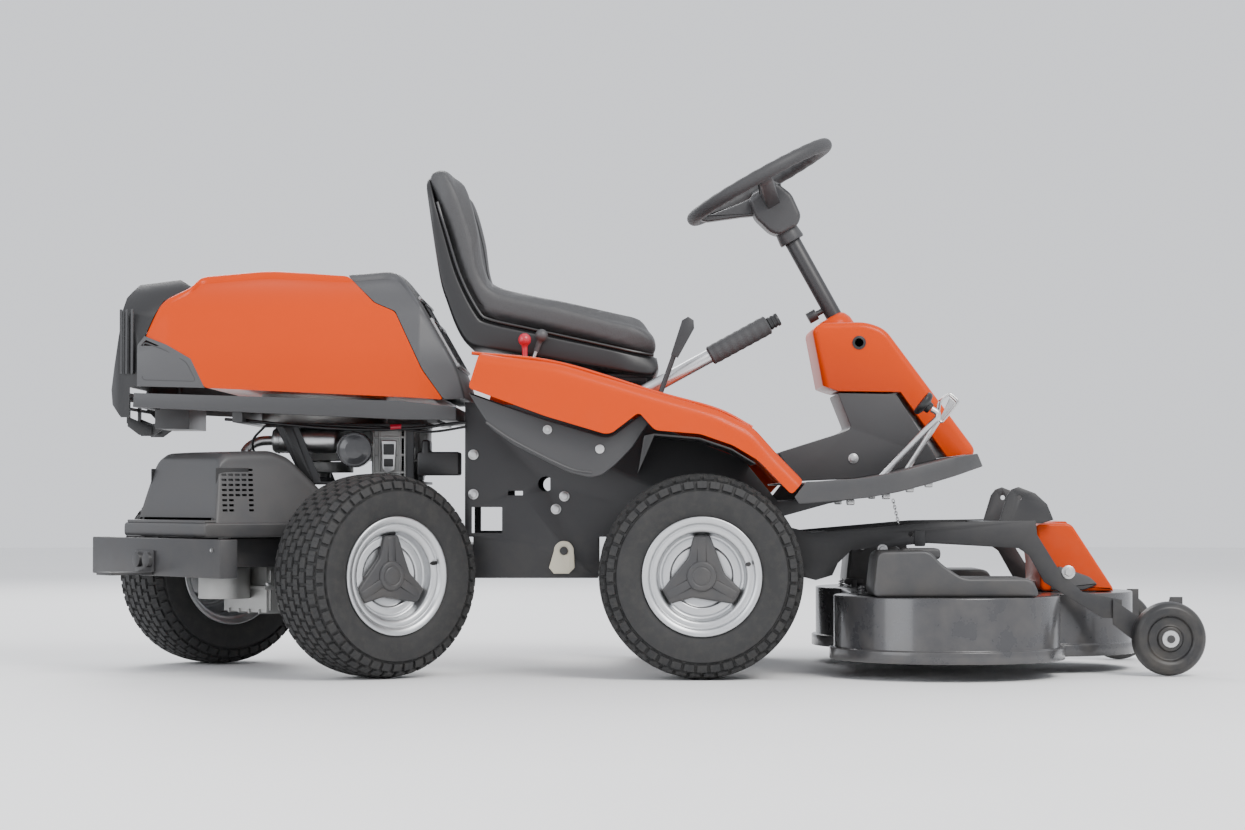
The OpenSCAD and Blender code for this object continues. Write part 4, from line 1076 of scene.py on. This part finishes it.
def build_hood():
    """Skin, windowed front with its bars and louvres, rear cap with ribs, and corner panels."""
    shell = skin_part("hood_skin", HOOD, 7)
    finish_piece(shell, "hood", "orange", ["hood_shell"])
    front = skin_part("hood_front", GRILLE, 5, 0.007)
    holes = [face_box(s0, s1, y0, y1, -40, 30, 1)
             for s0, s1, half in ((14, 54, 0.88 * 196), (66, 158, 196))
             for y0, y1 in ((-half, -72), (-62, 62), (72, half))]
    carve(front, make("cutter", joined(holes)))
    tidy(front, 28)
    finish_piece(front, "hood", "grey", ["hood_front_grille"])

    bars = [face_box(4, 12, -190, 190, -2, 6, 2.5)]
    bars += [face_box(s - 5, s + 5, -206, 206, -2, 6, 2.5) for s in (60, 164)]
    bars += [face_box(6, 164, y - 5, y + 5, -2, 5, 2.5) for y in (-67, 67)]
    bars += [face_box(56, 168, y - 6, y + 6, -2, 5, 2.5) for y in (-202, 202)]
    finish_piece(make("grille_bars", joined(bars), 40), "hood", "light")
    slats = []
    for s in np.arange(17, 158, 7.5):
        if not 56 < s < 64:
            half = 172 if s < 56 else 198
            slat = [(s, -9), (s + 5.4, -3.6), (s + 4.2, -2.4), (s - 1.2, -7.8)]
            slats.append(rounded_slab(slat, -half, half, 0.5, 0.5, 3, on_face))
    # A black plate behind the louvres: painted shade in place of the dark space inside the hood.
    back = face_box(12, 160, -200, 200, -15, -12, 1)
    finish_piece(make("grille_louvres", joined(slats) + back, 40), "hood", "soot")

    cap = copy_of("hood_rear_cap", "hood_cap", 3.0)
    finish_piece(cap, "hood", "soot", ["hood_rear_cap"])
    ribs = []
    for z in np.arange(602, 738, 13):
        edge = float(np.interp(z, [570, 615, 702, 755], [-1183, -1176, -1160, -1152]))
        rib = [(edge - 2.4, z), (edge + 6, z - 1), (edge + 6, z + 6), (edge - 1.6, z + 5)]
        ribs.append(rounded_slab(rib, -176, 176, 1.2, 1))
    ribs += [block(x, x + 5, -262 + (-1136 - x) * 0.6, -250, 600, 730, 1.2).paired()
             for x in (-1160, -1148, -1136)]
    finish_piece(make("cap_ribs", joined(ribs)), "hood", "dark")
    corner = copy_of("hood_corner_panels", "hood_corners", 2.0)
    finish_piece(corner, "hood", "grey", ["hood_corner_panels"])
    rim = soften([(-1112, 588), (-1004, 585), (-1024, 624), (-1068, 648), (-1110, 664)], 8, 4, True)
    skin_y = np.interp(rim[:, 1], [572, 640, 676], [-266.8, -266.8, -259.5])
    emboss = tube(at_side(rim, skin_y), 0.0016, 6)
    finish_piece(make("corner_emboss", emboss.paired()), "hood", "dark")


# ---------------------------------------------------------------- controls

WHEEL = joint_place("steering_wheel_turn") + COLUMN * 0.308
FORE = np.array([COLUMN[2], 0.0, -COLUMN[0]])


def on_wheel(turn=0.0):
    """A map from (along a spoke, across it, up the column) to the model's frame."""
    c, s = cos(radians(turn)), sin(radians(turn))

    def where(p):
        p = np.asarray(p, float) * MM
        u, v = p[..., 0] * c - p[..., 1] * s, p[..., 0] * s + p[..., 1] * c
        return WHEEL + u[..., None] * FORE + v[..., None] * [0.0, 1.0, 0.0] + p[..., 2:] * COLUMN
    return where


def build_steering():
    """The ring, swelling into finger bumps on its inner side, with three spokes and the hub."""
    a = np.linspace(0, 2 * pi, 241)[:-1, None]
    b = np.linspace(0, 2 * pi, 25)[None, :-1]
    inner = 0.5 - 0.5 * np.cos(b)                # 0 outside the ring, 1 inside it
    r = 14.2 + 0.75 * np.cos(30 * a) * inner * (np.cos(2 * a) < 0.55)
    ring = np.stack([(157 + r * np.cos(b)) * np.cos(a), (157 + r * np.cos(b)) * np.sin(a),
                     r * np.sin(b) * np.ones_like(a)], -1)
    points = on_wheel()(np.concatenate([ring, ring[:1]]))
    rim = make("steering_ring", grid(points, True), 60)
    finish_piece(rim, "steering_wheel", "grip", ["steering_rim"])
    arm = [(20, -22), (34, -62), (70, -46), (138, -20), (150, -8), (148, 3), (120, -12), (60, -20)]
    groove = [(44, -24), (60, -23), (118, -14.6), (118, -11.4), (60, -18.6), (44, -20)]
    spokes = [rounded_slab(arm, -15, 15, 5, 4, where=on_wheel(turn))
              + rounded_slab(groove, -5, 5, 1, 1.5, where=on_wheel(turn)) for turn in (90, 180, 270)]
    hub = rounded_slab([(-40, -22), (-47, -62), (-34, -104), (-20, -119), (24, -119), (40, -104),
                        (44, -56), (28, -18)], -36, 36, 9, 9, 5, on_wheel())
    lid = rounded_slab([(-38, -24), (-43, -34), (36, -30), (27, -15), (-30, -18)], -33, 33, 4, 5, 5,
                       on_wheel())
    boss = turned_solid([(0.001, 0), (0.026, 0), (0.027, 0.004), (0.024, 0.03), (0.0205, 0.034),
                         (0.001, 0.034)],
                        WHEEL - COLUMN * 0.142, COLUMN, 40)
    body = make("steering_spokes", joined(spokes) + hub + lid + boss, 32)
    finish_piece(body, "steering_wheel", "dark", ["steering_hub"])


def build_controls():
    """The lift lever's grip and button, two small levers and both pedals."""
    lean = np.array([cos(radians(28.5)), 0, sin(radians(28.5))])
    foot = place((-150, -262, 543))
    along = np.linspace(194, 327, 80)
    r = 19.6 + 0.4 * np.cos((along - 194) * 2 * pi / 16.6)
    r[[0, 1, -2, -1]] = [15.5, 18.6, 18.6, 15.5]
    grip = make("lift_handle", tube(foot + along[:, None] * MM * lean, r * MM, 32), 40)
    finish_piece(grip, "lift_lever", "grip", ["lift_grip"])
    at = np.array([327.5, 329, 332, 333, 336, 337, 340, 341, 344, 345, 348, 350.5, 351])
    rr = np.array([12, 13.6, 13.6, 12.2, 12.2, 13.6, 13.6, 12.2, 12.2, 13.6, 13.6, 12.6, 10])
    button = make("lift_knob", tube(foot + at[:, None] * MM * lean, rr * MM, 28), 30)
    finish_piece(button, "lift_button", "soot", ["lift_button"])

    for name, tip, body, finish, slot in (
            ("choke", (-349, -269, 668), "choke_lever", "red", "red_plastic"),
            ("throttle", (-316, -241, 678), "throttle_lever", "grey", "grey_plastic")):
        top, low = place(tip), place((-348, tip[1], 585))
        d = (top - low) / np.linalg.norm(top - low)
        far = np.linalg.norm(top - low)
        f = np.linspace(-1.05, pi / 2, 14)
        ball = [(0.013 * cos(q), far + 0.013 * sin(q)) for q in f[:-1]] + [(0.0003, far + 0.013)]
        neck = [(0.0003, far - 0.034), (0.0052, far - 0.034), (0.0056, far - 0.018)]
        knob = make(name + "_knob", turned_solid(neck + ball, low, d, 32), 50)
        stem = make(name + "_stem", tube([low, low + d * 0.02, low + d * (far - 0.03)], 0.0036, 12))
        finish_piece(knob, body, finish, [body])
        finish_piece(stem, body, "bright")

    rod = curve_through([(355, -268, 386), (368, -268, 401), (420, -268, 456), (462, -268, 500),
                         (474, -268, 512), (474, -268, 522), (462, -268, 530)], 60)
    pivot = tube(place([(355, y, 386) for y in (-284, -268, -252)]), 0.007, 16)
    lever = tube(place(rod), 0.0062, 16) + pivot
    finish_piece(make("forward_rod", lever), "forward_pedal", "tube", ["forward_pedal"])
    face = np.array([-0.78, 0, 0.62])
    at = place((460, -268, 530))
    pad = turned_solid([(0.0003, 0.0), (0.011, 0.0), (0.012, 0.008), (0.023, 0.012), (0.0258, 0.016),
                        (0.0258, 0.021), (0.0235, 0.0235), (0.020, 0.0222), (0.0003, 0.0222)],
                       at, face, 40)
    side, up = frame_of(face)
    for k in range(-3, 4):
        half = (0.021 ** 2 - (k * 0.0055) ** 2) ** 0.5
        mid = at + face * 0.0225 + side * k * 0.0055
        pad = pad + tube([mid - up * half, mid, mid + up * half], 0.0012, 8)
    finish_piece(make("forward_pad", pad, 40), "forward_pedal", "cable")

    rod = curve_through([(410, -215, 398), (440, -215, 444), (476, -215, 500), (484, -215, 512)], 30)
    pivot = tube(place([(410, y, 398) for y in (-230, -215, -200)]), 0.0068, 16)
    bar = tube(place(rod), 0.0056, 16) + pivot
    loop = soften([(479, 512), (486, 503), (522, 546), (503, 563), (484, 547)], 7, 6, True)
    loop = np.concatenate([loop, loop[:2]])
    for y in (-233, -197):
        bar = bar + tube(at_side(loop, y), 0.0022, 8)
    web = rounded_slab([(483, 509), (488, 505), (518, 543), (505, 555)], -216.5, -213.5, 3, 1)
    steps = [tube(place([(486 + k * 3.6, y, 549 + k * 2.6) for y in (-233, -215, -197)]), 0.0021, 8)
             for k in range(6)]
    finish_piece(make("reverse_bars", bar + web + joined(steps)), "reverse_pedal", "bright",
                 ["reverse_pedal"])


# ---------------------------------------------------------------- deck

def build_deck():
    """Covers over the outer blades, the belt hood, support wheels and small hardware."""
    body = [(330, 161), (340, 249), (441, 251), (462, 226), (505, 197), (640, 197), (655, 161)]
    covers = [rounded_slab(body, y0, y1, 16, 6, 5) + block(392, 470, mid - 26, mid + 26, 232, 254, 5)
              for y0, y1, mid in ((-429, -248, -330), (248, 429, 330))]
    top = make("deck_top_covers", joined(covers), 32)
    finish_piece(top, "equipment", "dark", ["deck_cover"])
    belt = rounded_slab([(690, 299), (764, 301), (854, 162), (701, 162), (701, 216)], -111, 111, 12, 6, 5)
    ridge = rounded_slab([(706, 300), (760, 304.5), (858, 161), (846, 161), (756, 296)], -70, 70, 3, 1.2)
    low = rounded_slab([(736, 214), (800, 192), (818, 176), (790, 164), (720, 164)], -118, -100, 6, 4)
    hood = make("belt_hood", belt + ridge, 30)
    finish_piece(hood, "equipment", "orange", ["belt_cover"])
    finish_piece(make("belt_guard", low.paired(), 30), "equipment", "grey")

    half = [(11, -21), (24, -21), (26, -14), (42, -13), (45, -19), (52, -22.6), (62, -21.5), (70, -14),
            (73.6, -4)]
    prof = half + [(r, -y) for r, y in half[::-1]]
    for hand, side in (("right", -1), ("left", 1)):
        def where(p, side=side):
            """A support wheel's own millimetres to the model's frame."""
            return place(np.asarray(p, float) + [929, side * 286, 74])
        roller = ring_about(soften(prof, 2.5, 4, True), where, 72)
        body = f"support_wheel_{hand}"
        finish_piece(make(f"roller_{hand}", roller, 40), body, "soot", [body])
        nut = turned_solid([(0.0003, 0), (0.0165, 0), (0.0175, 0.001), (0.0165, 0.0024), (0.0085, 0.0026),
                            (0.008, 0.0046), (0.0003, 0.0046)],
                           place((929, side * 307, 74)), (0, side, 0), 36)
        finish_piece(make(f"roller_washer_{hand}", nut, 30), body, "bright")

    parts = hex_bolt(place((738, -239.5, 204)), (0, -1, 0), 0.009)
    parts = parts + hex_bolt(place((366, -239.5, 250)), (0, -1, 0), 0.007)
    parts = parts + spring(place((322, -244, 132)), place((322, -244, 176)), 0.0065, 0.0015, 8)
    finish_piece(make("deck_hardware", parts.paired(), 30), "equipment", "bright")
    plate = block(340, 352, -236, -212, 96, 176, 2) + block(326, 366, -238, -214, 166, 178, 2)
    sign = block(430, 452, -241.2, -238.8, 256, 288, 2)
    finish_piece(make("deck_latches", plate.paired() + sign, 30), "equipment", "steel")


# ---------------------------------------------------------------- engine bay and rear unit

def turned_way(v):
    """A direction of the straight rear unit, as it stands turned."""
    x, y, z = v
    return np.array([x * cos(TURN) - y * sin(TURN), x * sin(TURN) + y * cos(TURN), z])


def build_rear():
    """The slotted cover with its ledge, fins on the transaxle and the bolts."""
    pairs = [[(-403, 300), (-400, 314)], [(-400, 300), (-388, 372)], [(-396, 300), (-374, 430)],
             [(-360, 300), (-356, 443)], [(-300, 300), (-300, 446)], [(-250, 300), (-250, 447)],
             [(-214, 300), (-212, 434)], [(-160, 300), (-160, 384)], [(-116, 300), (-110, 333)],
             [(-106, 300), (-103, 306)]]
    skin = make("rear_form", draped(pairs, 161, 80, 3, 20, 0.24, where=turned), 60)
    thicken(skin, 0.004)
    slots = [block(x, x + 11, y0, y1, z, z + 4.6, 0.6, turned)
             for y0, y1 in ((-190, -90), (90, 190)) for row in range(9) for col in range(5)
             for x, z in [(-383 + col * 15 + row * 1.2, 326 + row * 10)]
             if y0 > 0 or row > 2 or col not in (2, 3)]
    carve(skin, make("cutter", joined(slots)))
    tidy(skin, 30)
    finish_piece(skin, "rear_unit", "dark", ["rear_cover"])
    ledge = rounded_slab([(-430, 275), (-430, 304), (-101, 304), (-101, 275)], -165, 165, 9, 5, 5, turned)
    line = rounded_slab([(-426, 309), (-106, 309), (-106, 303), (-426, 303)], -158, 158, 4, 2.5, 4, turned)
    finish_piece(make("rear_ledge", ledge + line, 32), "rear_unit", "dark")
    # Thin near-black plates inside the cover behind the slots: painted shade where the cover's dark inside
    # shows through.
    dark = [block(-386, -312, y, y + 3, 322, 412, 1, turned) for y in (-132, 129)]
    finish_piece(make("rear_grille_back", joined(dark)), "rear_unit", "cable")

    fins = [block(x, x + 4, -89, 89, 126, 208, 1.2, turned) for x in range(-236, -109, 21)]
    fins += [block(-246, -98, y - 2, y + 2, 119, 128, 1, turned) for y in (-60, -20, 20, 60)]
    finish_piece(make("transaxle_fins", joined(fins), 40), "rear_unit", "cast")
    bolts = [hex_bolt(turned([x, y, 176]), (0, 0, 1), 0.0055, 0.005)
             for x in (-240, -205, -170, -135, -106) for y in (-88, 88)]
    back = turned_way((-1, 0, 0))
    bolts += [hex_bolt(turned([-451.2, y, 230]), back, 0.009, 0.007) for y in (12, 52)]
    bolts.append(tube([turned([-452, y, 252]) for y in (-235, -231)], 0.004, 12))
    finish_piece(make("rear_bolts", joined(bolts), 30), "rear_unit", "bright")


def build_engine():
    """Ribbed casting, clip, filter, muffler, strap, cables, lift chain and footplate clips."""
    case = [block(-664, -592, -152, -96, 388, 494, 5)]
    case += [block(x - 2, x + 2, -156, -100, 392, 492, 1.5) for x in (-660, -648, -606, -596)]
    case += [block(-662, -594, -155, -100, z - 2.5, z + 2.5, 1.5) for z in (404, 440, 476)]
    case.append(block(-592, -576, -140, -104, 452, 492, 4))
    finish_piece(make("engine_casting", joined(case), 36), "chassis", "cast")
    clip = rounded_slab([(-644, 470), (-612, 470), (-616, 408), (-632, 400), (-642, 412)], -164, -157, 4, 2.5)
    finish_piece(make("engine_clip", clip, 36), "chassis", "bright")
    # Near-black blocks on the clip's two windows: painted shade standing for the openings.
    window = block(-639, -617, -165, -160, 440, 462, 1) + block(-638, -619, -165, -160, 416, 432, 1)
    finish_piece(make("engine_clip_dark", window, 36), "chassis", "cable")
    lens = [(0.0003, 0.0), (0.036, 0.0), (0.0362, -0.040), (0.0345, -0.044), (0.0322, -0.045),
            (0.0318, -0.0405), (0.029, -0.041), (0.018, -0.0445), (0.0003, -0.046)]
    filt = turned_solid(soften(lens, 0.0008, 3), place((-695, -158, 450)), (0, 1, 0), 56)
    finish_piece(make("filter_can", filt, 34), "chassis", "deck", ["air_filter"])
    barrel = [(0.0003, -0.069), (0.020, -0.069), (0.026, -0.062), (0.0262, 0.060), (0.020, 0.068),
              (0.0003, 0.068)]
    can = turned_solid(soften(barrel, 0.003, 4), place((-800, -120, 470)), (1, 0, 0), 48)
    ends = turned_solid([(0.0255, -0.058), (0.0272, -0.057), (0.0272, -0.054), (0.0255, -0.053)],
                        place((-800, -120, 470)), (1, 0, 0), 48)
    bend = place([(-868, -120, 470), (-895, -120, 468), (-915, -124, 458), (-925, -130, 445)])
    pipe = tube(curve_through(bend, 24), 0.010, 20)
    muffler = make("muffler_can", can + ends + pipe, 40)
    finish_piece(muffler, "chassis", "bright", ["muffler"])

    strap = rounded_slab([(-848, 504), (-828, 504), (-782, 388), (-802, 388)], -158, -152.5, 2, 1)
    finish_piece(make("engine_strap", strap), "chassis", "soot")
    routes = [([(-470, -197, 505), (-510, -199, 501), (-560, -200, 494), (-657, -200, 490), (-740, -199, 493),
                (-827, -194, 500), (-905, -184, 508), (-960, -165, 512)], 0.0033),
              ([(-470, -194, 496), (-540, -198, 486), (-610, -198, 492), (-700, -196, 497), (-800, -186, 501),
                (-880, -160, 498)], 0.0026),
              ([(-880, -160, 498), (-905, -150, 470), (-900, -140, 440), (-868, -128, 420)], 0.0026)]
    for number, (route, radius) in enumerate(routes):
        wire = tube(curve_through(place(route), 70), radius, 10)
        finish_piece(make(f"cable_{number}", wire), "chassis", "cable")
    tags = tube(place([(-600, -199, 496), (-622, -200, 495)]), 0.006, 14)
    finish_piece(make("cable_sleeve", tags), "chassis", "red")

    links = []
    top, low = np.array([388, -236, 349.0]), np.array([399, -236, 301.0])
    d = (low - top) / np.linalg.norm(low - top)
    a = np.linspace(0, 2 * pi, 13)[:, None]
    for k in range(8):
        mid = top + (low - top) * (k + 0.5) / 8
        side = np.array([0, 1.0, 0]) if k % 2 else np.array([d[2], 0, -d[0]])
        ring = place(mid + 4.6 * np.cos(a) * d + 2.6 * np.sin(a) * side)
        links.append(tube(ring, 0.0009, 6))
    chain = make("lift_chain", joined(links), 60)
    finish_piece(chain, "chassis", "bright")
    chain.parent = None
    place(top)
    place(low)
    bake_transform(chain)
    under = [block(x, x + 16, y, y + 20, z, z + 12, 2)
             for x, z in ((300, 338), (372, 350), (420, 364), (458, 374)) for y in (-180, 160)]
    finish_piece(make("footplate_clips", joined(under)), "chassis", "bright")


# ---------------------------------------------------------------- operators

class MowerLook(bpy.types.PropertyGroup):
    """Colours and measures that can be changed before the machine is built."""
    orange: bpy.props.FloatVectorProperty(
        name="Hood colour", description="Colour of the hood", size=3, min=0, max=1,
        subtype="COLOR", default=(0.60, 0.050, 0.001))
    dark_plastic: bpy.props.FloatVectorProperty(
        name="Cover colour", description="Colour of the moulded covers", size=3, min=0, max=1,
        subtype="COLOR", default=(0.046, 0.046, 0.048))
    vinyl: bpy.props.FloatVectorProperty(
        name="Seat colour", description="Colour of the seat's vinyl", size=3, min=0, max=1,
        subtype="COLOR", default=(0.062, 0.062, 0.064))
    sky: bpy.props.FloatProperty(
        name="Sky", description="Brightness of the even surroundings", default=1.15, min=0, max=5)
    light: bpy.props.FloatProperty(
        name="Lamps", description="Brightness of the three lamps together", default=1.0, min=0, max=5)
    tread_depth: bpy.props.FloatProperty(
        name="Tread depth", description="Depth of the grooves in the road tyres",
        default=0.0055, min=0.001, max=0.01, unit="LENGTH")
    cloth_frames: bpy.props.IntProperty(
        name="Cushion frames", description="Frames for which the cushion swells", default=20, min=2, max=60)


class MOWER_OT_finishes(bpy.types.Operator):
    """Makes every material from the panel's colours"""
    bl_idname = "mower.finishes"
    bl_label = "Finishes"

    def execute(self, context):
        FINISH.update(make_finishes(context.scene.mower_look))
        return {"FINISHED"}


class MOWER_OT_stage(bpy.types.Operator):
    """Adds the camera, the lamps, the sky and the floor"""
    bl_idname = "mower.stage"
    bl_label = "Studio"

    def execute(self, context):
        build_stage(context.scene.mower_look)
        return {"FINISHED"}


class MOWER_OT_wheels(bpy.types.Operator):
    """Tyres with staggered blocks, stepped rims and star caps"""
    bl_idname = "mower.wheels"
    bl_label = "Road wheels"

    def execute(self, context):
        build_wheels(context.scene.mower_look)
        return {"FINISHED"}


class MOWER_OT_seat(bpy.types.Operator):
    """A swollen vinyl pad with seams and a welt on its shell"""
    bl_idname = "mower.seat"
    bl_label = "Seat"

    def execute(self, context):
        build_seat(context.scene.mower_look)
        return {"FINISHED"}


class MOWER_OT_covers(bpy.types.Operator):
    """Fenders, shields, cowl and tower"""
    bl_idname = "mower.covers"
    bl_label = "Covers"

    def execute(self, context):
        build_covers()
        return {"FINISHED"}


class MOWER_OT_hood(bpy.types.Operator):
    """Skin, louvred front, rear cap and corner panels"""
    bl_idname = "mower.hood"
    bl_label = "Hood"

    def execute(self, context):
        build_hood()
        return {"FINISHED"}


class MOWER_OT_steering(bpy.types.Operator):
    """Ring with finger bumps, spokes and boxed hub"""
    bl_idname = "mower.steering"
    bl_label = "Steering wheel"

    def execute(self, context):
        build_steering()
        return {"FINISHED"}


class MOWER_OT_controls(bpy.types.Operator):
    """Grip, button, knobs and both pedals"""
    bl_idname = "mower.controls"
    bl_label = "Levers and pedals"

    def execute(self, context):
        build_controls()
        return {"FINISHED"}


class MOWER_OT_deck(bpy.types.Operator):
    """Covers, belt hood, rollers and hardware"""
    bl_idname = "mower.deck"
    bl_label = "Cutting deck"

    def execute(self, context):
        build_deck()
        return {"FINISHED"}


class MOWER_OT_rear(bpy.types.Operator):
    """Slotted cover, ledge, fins and bolts"""
    bl_idname = "mower.rear"
    bl_label = "Rear unit"

    def execute(self, context):
        build_rear()
        return {"FINISHED"}


class MOWER_OT_engine(bpy.types.Operator):
    """Castings, filter, muffler, cables and lift chain"""
    bl_idname = "mower.engine"
    bl_label = "Engine bay"

    def execute(self, context):
        build_engine()
        return {"FINISHED"}


class MOWER_OT_rest(bpy.types.Operator):
    """Parts that keep their designed shape, with eased edges"""
    bl_idname = "mower.rest"
    bl_label = "Frame and castings"

    def execute(self, context):
        build_castings()
        return {"FINISHED"}


OPERATORS = [
    MOWER_OT_finishes, MOWER_OT_stage, MOWER_OT_wheels, MOWER_OT_seat, MOWER_OT_covers,
    MOWER_OT_hood, MOWER_OT_steering, MOWER_OT_controls, MOWER_OT_deck, MOWER_OT_rear,
    MOWER_OT_engine, MOWER_OT_rest]


class MOWER_PT_panel(bpy.types.Panel):
    """Settings and one button for each group of pieces."""
    bl_label = "Riding lawn mower"
    bl_space_type = "VIEW_3D"
    bl_region_type = "UI"
    bl_category = "Mower"

    def draw(self, context):
        look = context.scene.mower_look
        for name in MowerLook.__annotations__:
            self.layout.prop(look, name)
        for item in OPERATORS:
            self.layout.operator(item.bl_idname)


def register():
    """Makes the settings, the operators and the panel known."""
    for item in (MowerLook, *OPERATORS, MOWER_PT_panel):
        bpy.utils.register_class(item)
    bpy.types.Scene.mower_look = bpy.props.PointerProperty(type=MowerLook)


def unregister():
    """Takes the classes out again."""
    del bpy.types.Scene.mower_look
    for item in reversed((MowerLook, *OPERATORS, MOWER_PT_panel)):
        bpy.utils.unregister_class(item)


def main():
    """Builds the machine by its operators in order."""
    register()
    for item in OPERATORS:
        getattr(bpy.ops.mower, item.bl_idname.split(".")[1])()


if __name__ == "__main__":
    main()
